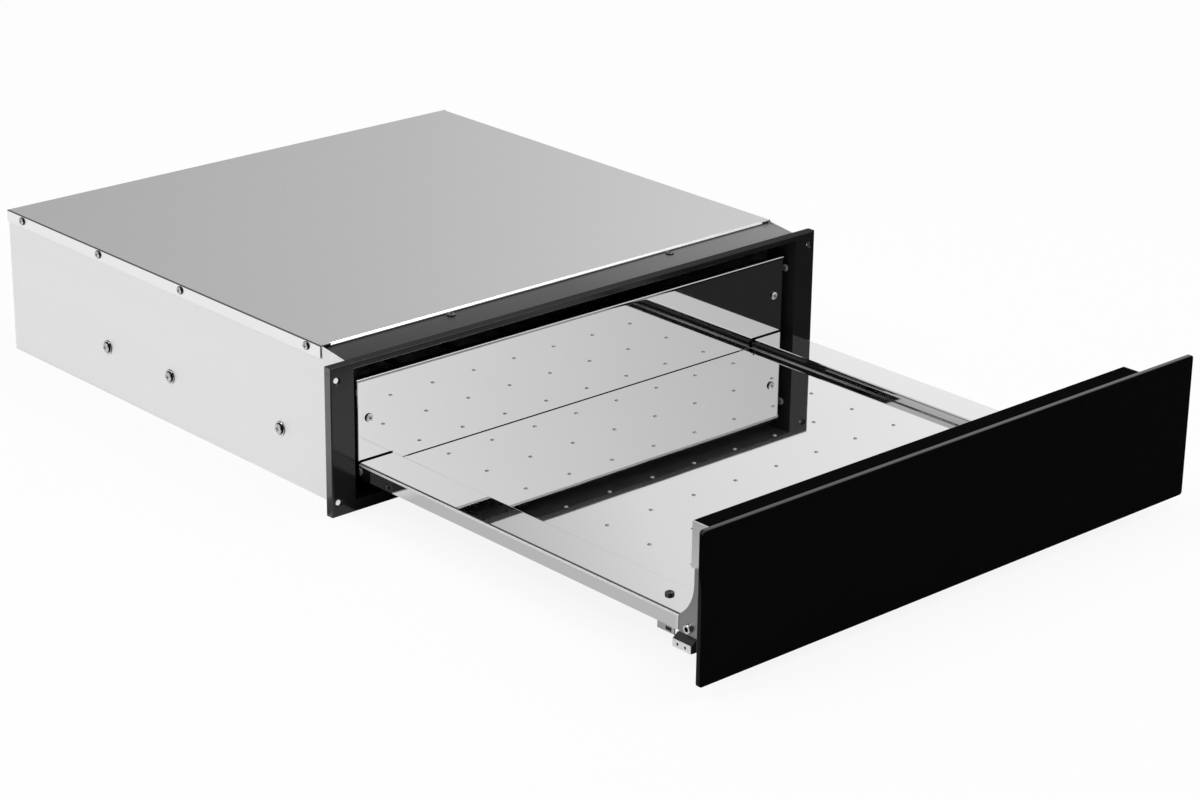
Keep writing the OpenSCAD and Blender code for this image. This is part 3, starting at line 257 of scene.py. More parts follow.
def polished_sheet(name, light, dark, rough):
    """Mirror-finished stainless: nearly clean reflections, slow waviness, faint wiping marks. Painted by place: a matt
    band under the skirts' bend as a painted highlight, a dark painted shade line at the foot of each step, paler at
    the rear, painted shade on the left skirt's bend, and a darker painted shade strip under the rear wall's top edge."""
    material, n, surface = start_material(name)
    marks = placed(n, handling_marks, Cloud_Size=5.0, Scratch_Size=90.0)
    here = n.here()
    aside = n.math("ABSOLUTE", here["X"])
    # painted highlight: a matt pale band below the skirts' bend
    matt_highlight_band = n.product(n.above(aside, (SKIRT_OUT - 0.45) * MM), n.above(here["Z"], (LEDGE_TOP - 2.6) * MM),
                          n.below(here["Z"], (LEDGE_TOP - 0.6) * MM))
    # painted shade: a dark line at the foot of each step, paler towards the rear
    foot = n.product(n.close_to(aside, (STEP_OUT - 3.7) * MM, 1.1 * MM),
                     n.close_to(here["Z"], FLOOR_TOP * MM, 0.2 * MM))
    foot_shade_tone = n.blend(n.ramp(here["Y"], -0.2, -0.1), grey(0.01), grey(0.36))
    # painted shade on the left skirt's bend
    bend = n.product(n.close_to(here["X"], -(SKIRT_OUT - 1.3) * MM, 0.9 * MM),
                     n.above(here["Z"], (LEDGE_TOP - 0.7) * MM), n.below(here["Z"], (LEDGE_TOP + 0.1) * MM))
    # painted shade: a darker strip under the rear wall's top edge
    under_edge = n.product(n.close_to(here["Z"], (WALL_TOP - 2.25) * MM, 0.8 * MM),
                           n.below(here["Y"], (WALL_FRONT + 0.4) * MM))
    colour = n.blend(marks["Clouds"], grey(dark), grey(light))
    for mask, tone in ((under_edge, grey(0.38)), (bend, grey(0.12)), (foot, foot_shade_tone)):
        colour = n.blend(mask, colour, tone)
    to(n, colour, surface, "Base Color")
    to(n, n.math("SUBTRACT", 1.0, n.math("MAXIMUM", matt_highlight_band, foot)), surface, "Metallic")
    haze = n.math("ADD", n.math("MULTIPLY", marks["Clouds"], 0.02), n.math("MULTIPLY", marks["Scratches"], 0.03))
    to(n, n.math("ADD", haze, rough), surface, "Roughness")
    place = n.add("ShaderNodeTexCoord").outputs["Object"]
    slow = n.add("ShaderNodeTexNoise", {"Vector": place, "Scale": 11.0, "Detail": 1.0})
    wavy = n.add("ShaderNodeBump", {"Strength": 0.1, "Distance": 0.6 * MM, "Height": slow.outputs["Fac"]})
    to(n, wavy.outputs[0], surface, "Normal")
    return material


def coated(name, colour, high, rough, bump=0.05, grain=900.0, specular=0.5, coat=0.0, lit_sides=None,
           lit_strips=(), matt_above=1.0):
    """Enamel, glass or moulded plastic: one colour with slow changes of tone and gloss. Lit_sides holds (distance
    from the middle, tone) of the sides painted pale in blotches as painted light, less so near the foot. Lit_strips
    holds rows of (axis, distance, tone) for the folded strips behind the front, painted paler as painted light.
    Above the height matt_above the coat has no gloss."""
    material, n, surface = start_material(name)
    texture = placed(n, fine_texture, Grain_Size=grain)
    marks = placed(n, handling_marks, Cloud_Size=7.0, Scratch_Size=80.0)
    here = n.here()
    shown = n.blend(texture["Tone"], colour, high)
    # painted light: the outer sides painted pale in blotches, less so near the foot
    if lit_sides:
        beyond = n.above(n.math("ABSOLUTE", here["X"]), lit_sides[0])
        rubbed = n.product(beyond, n.ramp(here["Z"], 0.0, 0.06, 0.35, 1.0), marks["Clouds"])
        shown = n.blend(rubbed, shown, grey(2 * lit_sides[1]))
    # painted light: the folded strips behind the front painted paler
    for axis, distance, tone in lit_strips:
        strip = n.close_to(n.math("ABSOLUTE", here[axis]), distance, 0.5 * MM)
        behind_front = n.above(here["Y"], (FRAME_FACE + 0.4) * MM)
        shown = n.blend(n.product(strip, behind_front), shown, grey(tone))
    to(n, shown, surface, "Base Color")
    gloss = n.math("MULTIPLY", n.math("SUBTRACT", marks["Clouds"], 0.5), 0.12)
    worn = n.math("ADD", gloss, n.math("MULTIPLY", marks["Scratches"], 0.06))
    even = n.math("ADD", worn, rough, clamp=True)
    to(n, n.math("ADD", even, n.above(here["Z"], matt_above), clamp=True), surface, "Roughness")
    height = n.add("ShaderNodeBump", {"Strength": bump, "Distance": 0.1 * MM, "Height": texture["Height"]})
    to(n, height.outputs[0], surface, "Normal")
    surface.inputs["Specular IOR Level"].default_value = specular
    surface.inputs["Coat Weight"].default_value = coat
    surface.inputs["Coat Roughness"].default_value = 0.08
    return material


ACROSS = (4.0, 700.0, 700.0)
DEEP = (700.0, 4.0, 700.0)
FINE = (400.0, 400.0, 400.0)

finish = {
    "casing_steel": sheet_metal("casing_steel", 0.915, 0.865, 0.45, 0.08, DEEP, lines=0.08, metallic=0.8),
    # the lid: painted light on its side flanges, painted shade on its folds and hem
    "cover_steel": sheet_metal("cover_steel", 0.79, 0.75, 0.28, 0.06, ACROSS, lines=0.1,
                               fold=(0.2759, 0.1439, 0.0313)),
    # the frame: painted light on its outer sides and on the strips behind its face
    "frame_black": coated("frame_black", grey(0.012), grey(0.015), 0.14, specular=0.42, lit_sides=(0.2974, 0.115),
                          lit_strips=(("Z", 0.134, 0.07), ("X", 0.272, 0.03)), matt_above=0.1397),
    # the bridge painted paler towards +X as painted light
    "bridge_grey": sheet_metal("bridge_grey", 0.09, 0.06, 0.38, 0.1, ACROSS, lines=0.2, metallic=0.2,
                               painted_light_ramps=((-0.26, 0.26, 1.2), (0.0, 0.26, 1.5)), specular=0.15),
    # the tray's steel carries painted highlight and painted shade lines by place
    "tray_steel": polished_sheet("tray_steel", 0.86, 0.83, 0.015),
    "zinc": sheet_metal("zinc", 0.62, 0.5, 0.32, 0.12, FINE, lines=0.3, clouds=20.0),
    "screw_steel": sheet_metal("screw_steel", 0.62, 0.5, 0.2, 0.06, FINE, lines=0.2, clouds=90.0, recess=True),
    "bracket_grey": sheet_metal("bracket_grey", 0.39, 0.31, 0.45, 0.15, DEEP, lines=0.2, clouds=30.0),
    "black_plastic": coated("black_plastic", grey(0.008), grey(0.014), 0.45, bump=0.2, specular=0.4),
    "shell_black": coated("shell_black", grey(0.003), grey(0.0045), 0.35, specular=0.0),
    "glass_black": coated("glass_black", grey(0.0018), grey(0.0024), 0.05, bump=0.0),
    "insulation": coated("insulation", (0.66, 0.62, 0.53, 1), (0.78, 0.75, 0.67, 1), 0.9, bump=0.8, grain=300.0,
                         specular=0.2),
    "heater_metal": sheet_metal("heater_metal", 0.34, 0.22, 0.45, 0.2, FINE, lines=0.3, clouds=12.0),
    "ceramic": coated("ceramic", (0.7, 0.67, 0.6, 1), (0.78, 0.76, 0.7, 1), 0.4, bump=0.1),
    "lamp_amber": coated("lamp_amber", (0.8, 0.3, 0.03, 1), (0.85, 0.38, 0.06, 1), 0.12, bump=0.0, coat=0.5),
    "knob_black": coated("knob_black", grey(0.01), grey(0.016), 0.4, bump=0.15),
}
# painted shade: the raised dots get a darker copy of the tray's steel
dot_steel = sheet_metal("dot_steel", 0.24, 0.18, 0.3, 0.1, FINE, lines=0.2, clouds=40.0)
cap_steel = sheet_metal("cap_steel", 0.9, 0.84, 0.4, 0.08, DEEP, lines=0.1, metallic=0.8)
# painted light: a paler, less metallic copy of the screw steel for the screws in the opening and on the rear wall
plated_screw = sheet_metal("plated_screw", 0.86, 0.74, 0.3, 0.06, FINE, lines=0.2, metallic=0.4, clouds=90.0,
                           recess=True)
# painted shade: a dark copy of the screw steel for the two screws on the lid's front hem
tarnished_screw = sheet_metal("tarnished_screw", 0.2, 0.05, 0.25, 0.1, FINE, lines=0.3, metallic=0.9, clouds=600.0,
                              recess=True)
dark_screw = coated("dark_screw", grey(0.01), grey(0.03), 0.3, bump=0.1, specular=0.6)

node_slot = {row["node"]: row["material_slot"] for row in frame["record"]["subparts"]}
node_body = {node: body for body, nodes in frame["record"]["behaviour"]["bodies"].items() for node in nodes}

for node, obj in frame["nodes"].items():
    for slot in obj.material_slots:
        slot.material = finish[node_slot[node]]


# ------------------------------------------------------------- mesh helpers

def keep(obj, body, nodes=()):
    """Ties a finished piece to its body and to the CAD nodes it stands for."""
    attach(obj, body)
    if nodes:
        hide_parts(*nodes)
    return obj


def bare_object(name, bm):
    """The mesh as an object that isn't in the scene yet."""
    mesh = bpy.data.meshes.new(name)
    bm.to_mesh(mesh)
    bm.free()
    return bpy.data.objects.new(name, mesh)


def settled(obj):
    """The plain mesh that the object's modifiers leave; the object itself goes."""
    mesh = bpy.data.meshes.new_from_object(obj.evaluated_get(bpy.context.evaluated_depsgraph_get()))
    bpy.data.objects.remove(obj)
    return mesh


def sharp_at(mesh, angle):
    """Smooth shading, broken at the edges that turn by more than the angle in degrees."""
    mesh.shade_smooth()
    mesh.set_sharp_from_angle(angle=math.radians(angle))


def to_object(name, bm, material, smooth=40):
    """The mesh as an object whose flats shade flat right up to their rounded edges."""
    draft = bare_object(name + "_draft", bm)
    draft.data.materials.append(material)
    sharp_at(draft.data, smooth)
    bpy.context.scene.collection.objects.link(draft)
    level = draft.modifiers.new("level", "WEIGHTED_NORMAL")
    level.mode, level.weight, level.keep_sharp = "FACE_AREA", 100, True
    final = settled(draft)
    final.name = name
    obj = bpy.data.objects.new(name, final)
    bpy.context.scene.collection.objects.link(obj)
    return obj


def bend_path(path, thick, inner_radius, steps):
    """Points along a folded sheet's near face, each with the direction in which its thickness lies."""
    points = [Vector(p) for p in path]
    samples = []
    for k, here in enumerate(points):
        if k in (0, len(points) - 1):
            way = (points[1] - points[0]) if k == 0 else (points[-1] - points[-2])
            way.normalize()
            samples.append((here, Vector((way.y, -way.x))))
            continue
        before = (here - points[k - 1]).normalized()
        after = (points[k + 1] - here).normalized()
        turn = math.atan2(before.cross(after), before.dot(after))
        radius = inner_radius if turn > 0 else inner_radius + thick
        reach = radius * math.tan(abs(turn) / 2)
        first = here - before * reach
        side = Vector((-before.y, before.x)) * (1 if turn > 0 else -1)
        centre = first + side * radius
        for step in range(steps + 1):
            rotation = Matrix.Rotation(turn * step / steps, 2)
            run = rotation @ before
            samples.append((centre + rotation @ (first - centre), Vector((run.y, -run.x))))
    return samples


def corner_at(bm, u, v, w, axis):
    """A vertex at w along the axis and at (u, v) across it, in millimetres."""
    u, v, w = u * MM, v * MM, w * MM
    return bm.verts.new({"X": (w, u, v), "Y": (u, w, v), "Z": (u, v, w)}[axis])


def side_faces(bm, rows):
    count = len(rows[0])
    return [bm.faces.new((rows[0][k], rows[0][(k + 1) % count], rows[1][(k + 1) % count], rows[1][k]))
            for k in range(count)]


def folded(bm, path, thick=SHEET, inner_radius=BEND_RADIUS, span=(0, 1), axis="Y", steps=5):
    """Adds a folded sheet: its near face follows path, its thickness lies to the right of the way the path runs,
    each corner is a bend, and the section is carried over span along the axis. Millimetres."""
    samples = bend_path(path, thick, inner_radius, steps)
    section = [p for p, _ in samples] + [p + n * thick for p, n in reversed(samples)]
    rows = [[corner_at(bm, p.x, p.y, along, axis) for p in section] for along in span]
    count = len(section)
    faces = side_faces(bm, rows)
    for row in rows:
        faces += [bm.faces.new((row[k], row[k + 1], row[count - 2 - k], row[count - 1 - k]))
                  for k in range(count // 2 - 1)]
    bmesh.ops.recalc_face_normals(bm, faces=faces)


def cut_sheet(bm, outline, low, high, axis="Z"):
    """Adds a flat sheet of that outline between two levels along the axis. Millimetres."""
    rows = [[corner_at(bm, u, v, level, axis) for u, v in outline] for level in (low, high)]
    faces = [bm.faces.new(row) for row in rows] + side_faces(bm, rows)
    bmesh.ops.recalc_face_normals(bm, faces=faces)


def rounded(bm, edges, width, segments):
    bmesh.ops.bevel(bm, geom=edges, offset=width * MM, segments=segments, profile=0.5, affect="EDGES",
                    clamp_overlap=False)


def sharp_edges(bm, least, turn=28):
    """The edges longer than least, in millimetres, that turn by more than the angle in degrees."""
    return [e for e in bm.edges if len(e.link_faces) == 2 and e.calc_length() > least * MM
            and e.calc_face_angle(0) > math.radians(turn)]


def refined(node, width=0.2, segments=2, least=2.0, smooth=40, material=None, cut=None, first=None):
    """The CAD node again, with its flats joined up and its long edges rounded, those that first picks before the
    others, less the solids that cut adds."""
    bm = bmesh.new()
    bm.from_mesh(frame["nodes"][node].data)
    bmesh.ops.remove_doubles(bm, verts=bm.verts, dist=1e-6)
    bmesh.ops.dissolve_limit(bm, angle_limit=math.radians(0.6), verts=bm.verts, edges=bm.edges)
    if first:
        rounded(bm, first(bm), RIM_ROUNDING, 5)
    rounded(bm, sharp_edges(bm, least), width, segments)
    if cut:
        blank = bare_object(node + "_blank", bm)
        bm = bmesh.new()
        bm.from_mesh(carved(blank, cut).data)
    obj = to_object(node + "_finish", bm, material or finish[node_slot[node]], smooth)
    return keep(obj, node_body[node], [node])


# ------------------------------------------------------------ screws and dots

def turned(name, profile, steps=32):
    """A closed solid turned about Z from (radius, height) points in millimetres."""
    bm = bmesh.new()
    rings = []
    for radius, height in profile:
        count = steps if radius else 1
        rings.append([bm.verts.new((radius * MM * math.cos(2 * math.pi * k / steps),
                                    radius * MM * math.sin(2 * math.pi * k / steps), height * MM))
                      for k in range(count)])
    for low, high in zip(rings, rings[1:]):
        for k in range(steps):
            j = (k + 1) % steps
            if len(low) == 1:
                bm.faces.new((low[0], high[j], high[k]))
            elif len(high) == 1:
                bm.faces.new((low[k], low[j], high[0]))
            else:
                bm.faces.new((low[k], low[j], high[j], high[k]))
    bmesh.ops.recalc_face_normals(bm, faces=bm.faces)
    return bare_object(name, bm)


def bar(bm, size, place, angle=0.0, taper=1.0):
    """A box whose lower end is narrower by taper, in millimetres."""
    made = bmesh.ops.create_cube(bm, size=1.0)
    for v in made["verts"]:
        thin = taper if v.co.z < 0 else 1.0
        v.co = Vector((v.co.x * size[0] * thin, v.co.y * size[1] * thin, v.co.z * size[2])) * MM
    bmesh.ops.rotate(bm, verts=made["verts"], cent=(0, 0, 0), matrix=Matrix.Rotation(angle, 3, "Z"))
    bmesh.ops.translate(bm, verts=made["verts"], vec=Vector(place) * MM)


def carved(blank, build):
    """The blank less the solids that build adds."""
    bm = bmesh.new()
    build(bm)
    cutter = bare_object("cutter", bm)
    for obj in (blank, cutter):
        bpy.context.scene.collection.objects.link(obj)
    name = blank.name + "_cut"
    cut = blank.modifiers.new("recess", "BOOLEAN")
    cut.operation, cut.object, cut.solver, cut.use_self = "DIFFERENCE", cutter, "EXACT", True
    mesh = settled(blank)
    bpy.data.objects.remove(cutter)
    sharp_at(mesh, 35)
    return bpy.data.objects.new(name, mesh)


def mark_recess_shade(obj, outline, grooves=()):
    """Stores on each face of a head whether it lies below the outline (radius, height), or in a groove (from radius,
    to radius, from height, to height): both are painted dark as painted shade."""
    seat, least_depth = 0.05, 0.12
    mesh = obj.data
    marked = []
    for face in mesh.polygons:
        x, y, z = face.center / MM
        radius = math.hypot(x, y)
        level = 0.0
        for (r0, z0), (r1, z1) in zip(outline, outline[1:]):
            if min(r0, r1) <= radius <= max(r0, r1) and r0 != r1:
                level = z0 + (z1 - z0) * (radius - r0) / (r1 - r0)
        groove = any(a < radius < b and low < z < high for a, b, low, high in grooves)
        marked.append(1.0 if groove or seat < z < level - least_depth else 0.0)
    layer = mesh.attributes.new("recess", "FLOAT", "FACE")
    layer.data.foreach_set("value", marked)
    return obj


def cross(size, height):
    """Builds the cross recess of a screw: two tapering bars of that size, their middle at that height."""
    def build(bm):
        for angle in (0.0, math.pi / 2):
            bar(bm, size, (0, 0, height), angle, 0.7)

    return build


def hexagon(bm):
    """The hexagon socket of a bolt, 4 mm across its flats."""
    made = bmesh.ops.create_cone(bm, cap_ends=True, segments=6, radius1=2.3 * MM, radius2=2.3 * MM, depth=3 * MM)
    bmesh.ops.translate(bm, verts=made["verts"], vec=(0, 0, 2.6 * MM))


def shank(radius, depth):
    """The start of a screw's profile: its shank up to the seat of the head."""
    return [(0, -depth), (radius, -depth), (radius, 0.0)]


PAN_TOP = [(4.0, 0.9), (3.75, 1.4), (3.1, 1.8), (2.1, 2.08), (1.0, 2.18), (0, 2.2)]
RING_TOP = [(6.75, 0.75), (6.5, 1.0), (5.3, 1.05), (4.75, 0.7), (4.7, 2.3), (4.3, 2.9), (3.4, 3.25), (2.0, 3.38),
            (0, 3.4)]
TRAY_HEAD = [(3.9, 0.0), (4.0, 0.15), (4.0, 1.3), (3.7, 2.0), (2.9, 2.5), (1.7, 2.74), (0, 2.8)]
SOCKET_TOP = [(3.7, 3.0), (0, 3.0)]
DOT = [(0, 0.9), (0.5, 0.86), (0.95, 0.74), (1.3, 0.54), (1.6, 0.28), (1.8, 0.08), (2.0, 0.0), (2.0, -0.2), (0, -0.2)]

pan_head = mark_recess_shade(
    carved(turned("pan_head", shank(1.7, 1.5) + [(3.85, 0.0), (4.0, 0.15)] + PAN_TOP), cross((4.6, 0.95, 2.0), 2.1)),
    PAN_TOP, [(3.6, 4.2, -0.1, 1.5)])
ring_head = mark_recess_shade(
    carved(turned("ring_head", shank(1.7, 1.0) + [(6.5, 0.0), (6.75, 0.2)] + RING_TOP), cross((5.6, 1.05, 2.2), 3.3)),
    RING_TOP, [(4.6, 5.4, 0.5, 2.4), (6.6, 7.0, -0.1, 0.9)])
tray_head = carved(turned("tray_head", shank(1.7, 1.0) + TRAY_HEAD), cross((4.4, 1.0, 1.8), 2.7))
socket_head = mark_recess_shade(
    carved(turned("socket_head", shank(1.95, 1.0) + [(3.9, 0.0), (4.0, 0.1), (4.0, 2.7)] + SOCKET_TOP), hexagon),
    SOCKET_TOP)
raised_dot = turned("raised_dot", DOT, 24)
raised_dot.data.shade_smooth()


def start_growth(name, inputs):
    """A new geometry node tree with those input sockets, a part, a finish and the parts that come out."""
    tree = bpy.data.node_groups.new(name, "GeometryNodeTree")
    for label, kind, value in inputs:
        socket = tree.interface.new_socket(label, in_out="INPUT", socket_type=kind)
        if value is not None:
            socket.default_value = value
    tree.interface.new_socket("Part", in_out="INPUT", socket_type="NodeSocketObject")
    tree.interface.new_socket("Finish", in_out="INPUT", socket_type="NodeSocketMaterial")
    tree.interface.new_socket("Parts", in_out="OUTPUT", socket_type="NodeSocketGeometry")
    n = Nodes(tree)
    return n, n.add("NodeGroupInput")


def seat_parts(n, given, points, **placing):
    """Puts a copy of the part on each point, as real mesh in the finish, and sends it out."""
    part = n.add("GeometryNodeObjectInfo", {"Object": given.outputs["Part"]})
    seated = n.add("GeometryNodeInstanceOnPoints",
                   {"Points": points, "Instance": part.outputs["Geometry"], **placing})
    real = n.add("GeometryNodeRealizeInstances", {"Geometry": seated.outputs[0]})
    painted = n.add("GeometryNodeSetMaterial", {"Geometry": real.outputs[0], "Material": given.outputs["Finish"]})
    n.add("NodeGroupOutput", {"Parts": painted.outputs[0]})
    return n.tree


def make_seating():
    """Geometry nodes that seat one copy of a part on every point, turned by the point's own angles."""
    n, given = start_growth("seat_on_points", [("Points", "NodeSocketGeometry", None), ("Size", FLOAT, 1.0)])
    turn = n.add("GeometryNodeInputNamedAttribute", {"Name": "turn"}, data_type="FLOAT_VECTOR")
    angles = n.add("FunctionNodeEulerToRotation", {0: turn.outputs[0]})
    return seat_parts(n, given, given.outputs["Points"], Rotation=angles.outputs[0], Scale=given.outputs["Size"])


def make_dot_field():
    """Geometry nodes that spread one copy of a part over an even field of columns and rows."""
    n, given = start_growth("even_field", [
        ("Columns", "NodeSocketInt", 8), ("Rows", "NodeSocketInt", 8),
        ("Pitch X", FLOAT, 0.05), ("Pitch Y", FLOAT, 0.05), ("Middle", VECTOR, (0, 0, 0))])

    def reach(count, pitch):
        return n.math("MULTIPLY", n.math("SUBTRACT", given.outputs[count], 1.0), given.outputs[pitch])

    grid = n.add("GeometryNodeMeshGrid", {
        "Size X": reach("Columns", "Pitch X"), "Size Y": reach("Rows", "Pitch Y"),
        "Vertices X": given.outputs["Columns"], "Vertices Y": given.outputs["Rows"]})
    moved = n.add("GeometryNodeTransform", {"Geometry": grid.outputs["Mesh"], "Translation": given.outputs["Middle"]})
    return seat_parts(n, given, moved.outputs[0])


seat_on_points = make_seating()
even_field = make_dot_field()


def grown(name, base, tree, values):
    """The plain mesh that a geometry node tree makes from base with the named values."""
    holder = bpy.data.objects.new(name + "_points", base)
    bpy.context.scene.collection.objects.link(holder)
    grower = holder.modifiers.new("grow", "NODES")
    grower.node_group = tree
    names = {item.name: item.identifier for item in tree.interface.items_tree if item.in_out == "INPUT"}
    for label, value in values.items():
        grower[names[label]] = value
    mesh = settled(holder)
    mesh.materials.clear()
    mesh.materials.append(values["Finish"])
    mesh.polygons.foreach_set("material_index", [0] * len(mesh.polygons))
    obj = bpy.data.objects.new(name, mesh)
    bpy.context.scene.collection.objects.link(obj)
    return obj


def screws(name, part, rows, node, material):
    """Screws at (place in mm, facing direction), each with its slot at its own angle."""
    spin = random.Random(name)
    base = bpy.data.meshes.new(name + "_base")
    base.from_pydata([Vector(p) * MM for p, _ in rows], [], [])
    turn = base.attributes.new("turn", "FLOAT_VECTOR", "POINT")
    for k, (_, facing) in enumerate(rows):
        own_angle = Matrix.Rotation(spin.uniform(0, math.pi), 3, "Z").to_quaternion()
        turn.data[k].vector = (Vector(facing).to_track_quat("Z", "Y") @ own_angle).to_euler()
    obj = grown(name, base, seat_on_points, {"Part": part, "Size": 1.0, "Finish": material})
    return keep(obj, node_body[node], [node])


FRONT, BACK, UP = (0, -1, 0), (0, 1, 0), (0, 0, 1)
SIDES = (-1, 1)

FLANGE_SCREW_Z, BACK_SCREW_OUT = 139.5, 274.8
cover_rows = [((s * COVER_OUT, y, FLANGE_SCREW_Z), (s, 0, 0)) for s in SIDES for y in (52, 243, 377, 509)]
cover_rows += [((BACK_SCREW_OUT * share, COVER_BACK, FLANGE_SCREW_Z), BACK) for share in (-0.85, 0, 0.85)]
screws("cover_screws", pan_head, cover_rows, "casing_screws", finish["screw_steel"])
screws("cover_front_screws", pan_head, [((BACK_SCREW_OUT * share, 25, HEM_FOOT), UP) for share in (-0.49, 0.49)],
       "casing_screws", tarnished_screw)
screws("opening_screws", pan_head, [((s * 272, 3.5, z), (-s, 0, 0)) for s in SIDES for z in (30, 104)],
       "frame_screws", plated_screw)
screws("bracket_ring_screws", ring_head, [((s * 276, y, 48), (s, 0, 0)) for s in SIDES for y in (95, 265.9, 369.2)],
       "slide_bracket_screws", finish["screw_steel"])
screws("wall_screws", pan_head, [((s * 250.5, WALL_FRONT, 81), FRONT) for s in SIDES],
       "rear_wall_screws", plated_screw)
screws("tray_head_screws", tray_head, [((s * 244, -380.6, LEDGE_TOP), UP) for s in SIDES]
       + [((STEP_OUT * share, FLOOR_FRONT, 41), BACK) for share in (-0.86, -0.29, 0.29, 0.86)],
       "tray_screws", dark_screw)
screws("bracket_bolts", socket_head, [((s * 264.2, -424.5, 33.5), (s, 0, 0)) for s in SIDES],
       "door_bracket_bolts", finish["screw_steel"])

dots_middle = FIRST_DOT_ROW - (DOT_COUNT - 1) / 2 * DOT_PITCH_Y
dots = grown("tray_dots", bpy.data.meshes.new("dots_base"), even_field, {
    "Columns": DOT_COUNT, "Rows": DOT_COUNT, "Pitch X": DOT_PITCH_X * MM, "Pitch Y": DOT_PITCH_Y * MM,
    "Middle": (0.0, dots_middle * MM, FLOOR_TOP * MM), "Part": raised_dot, "Finish": dot_steel})
keep(dots, "drawer", ())


# --------------------------------------------------------------- sheet pieces

def flange_slits(bm):
    """The upright slits where the lid's side flanges end behind the cheeks of the side panels."""
    for side in SIDES:
        bar(bm, (3, 1.3, 12), (side * 275.4, 31.2, 139))


def rim_edges(bm):
    """The outer edges of the front frame's face, left and right."""
    return [e for e in bm.edges
            if all(abs(v.co.y - FRAME_FACE * MM) < 1e-5 and abs(v.co.x) > RIM_OUT * MM for v in e.verts)]


def countersinks(bm):
    """The cones that seat the four mounting screws in the front frame."""
    depth, middle = 1.7, -8.35
    for side in SIDES:
        for z in HOLE_HEIGHTS:
            made = bmesh.ops.create_cone(bm, cap_ends=True, segments=32, radius1=4.2 * MM, radius2=2.5 * MM,
                                         depth=depth * MM)
            bmesh.ops.rotate(bm, verts=made["verts"], cent=(0, 0, 0), matrix=Matrix.Rotation(-math.pi / 2, 3, "X"))
            bmesh.ops.translate(bm, verts=made["verts"], vec=(side * HOLE_X * MM, middle * MM, z * MM))


for node in ("base_pan", "rear_panel", "left_slide_brackets", "right_slide_brackets", "door_inner_shell",
             "door_front_plate", "latch_striker", "left_wall_bracket", "right_wall_bracket", "rail_end_tabs",
             "catch_strips", "left_door_bracket", "right_door_bracket", "left_middle_rail", "right_middle_rail",
             "left_inner_rail", "right_inner_rail", "left_fixed_rail", "right_fixed_rail", "rear_partition",
             "heater_supports"):
    refined(node)
for side in ("left", "right"):
    refined(side + "_side_panel", cut=flange_slits)
for side in ("left", "right"):
    refined(side + "_end_cap", material=cap_steel)
refined("front_frame", 0.5, 3, cut=countersinks, first=rim_edges)
refined("frame_top_bridge", 0.4, 3)
refined("front_catches", 0.6, 3)
refined("fan_housing", 0.6)
refined("glass_front", 0.9, 3, least=0.1, smooth=20)
refined("control_knob", 0.4)
refined("heat_reflector", material=finish["heater_metal"])


def both_sides(bm, build):
    """Adds what build makes on the right, and its mirror image on the left."""
    for side in (1, -1):
        half = bmesh.new()
        build(half)
        for v in half.verts:
            v.co.x *= side
        bmesh.ops.recalc_face_normals(half, faces=half.faces)
        piece = bpy.data.meshes.new("half")
        half.to_mesh(piece)
        half.free()
        bm.from_mesh(piece)
        bpy.data.meshes.remove(piece)


def oblong(low_u, high_u, low_v, high_v):
    """The outline of a right-angled sheet, for cut_sheet."""
    return [(low_u, low_v), (high_u, low_v), (high_u, high_v), (low_u, high_v)]


def make_tray():
    """The tray: ledges and skirts folded at both sides, a strip along the foot of each step, the floor and its lip."""
    bm = bmesh.new()
    floor_out, floor_under = STEP_OUT - 3, FLOOR_TOP - SHEET

    def side(half):
        for out, span in ((SKIRT_OUT, (NECK_START, TRAY_BACK)), (NECK_OUT, (NECK_END, NECK_START))):
            folded(half, [(STEP_OUT, FLOOR_TOP), (STEP_OUT, LEDGE_TOP), (out, LEDGE_TOP), (out, SKIRT_FOOT)], span=span)
        low, high, inner, ease = FLOOR_TOP - 0.1, FLOOR_TOP + 5.5, STEP_OUT - 2.6, 0.2
        cut_sheet(half, [(inner, low), (STEP_OUT, low), (STEP_OUT, high - ease), (STEP_OUT - ease, high),
                         (inner + ease, high), (inner, high - ease)], FLOOR_FRONT, TRAY_BACK, "Y")
        cut_sheet(half, oblong(NECK_END - 7, NECK_END, SKIRT_FOOT, 39.2), NECK_OUT - SHEET, NECK_OUT, "X")

    both_sides(bm, side)
    lip_end, floor_back = FLOOR_FRONT + 2, 12
    cut_sheet(bm, [(-floor_out, lip_end), (floor_out, lip_end), (floor_out, TRAY_BACK), (STEP_OUT, TRAY_BACK),
                   (STEP_OUT, floor_back), (-STEP_OUT, floor_back), (-STEP_OUT, TRAY_BACK), (-floor_out, TRAY_BACK)],
              floor_under, FLOOR_TOP)
    folded(bm, [(FLOOR_FRONT, 46), (FLOOR_FRONT, FLOOR_TOP), (lip_end, FLOOR_TOP)], inner_radius=0.6,
           span=(-floor_out, floor_out), axis="X")
    keep(to_object("tray_finish", bm, finish["tray_steel"]), "drawer", ["tray"])


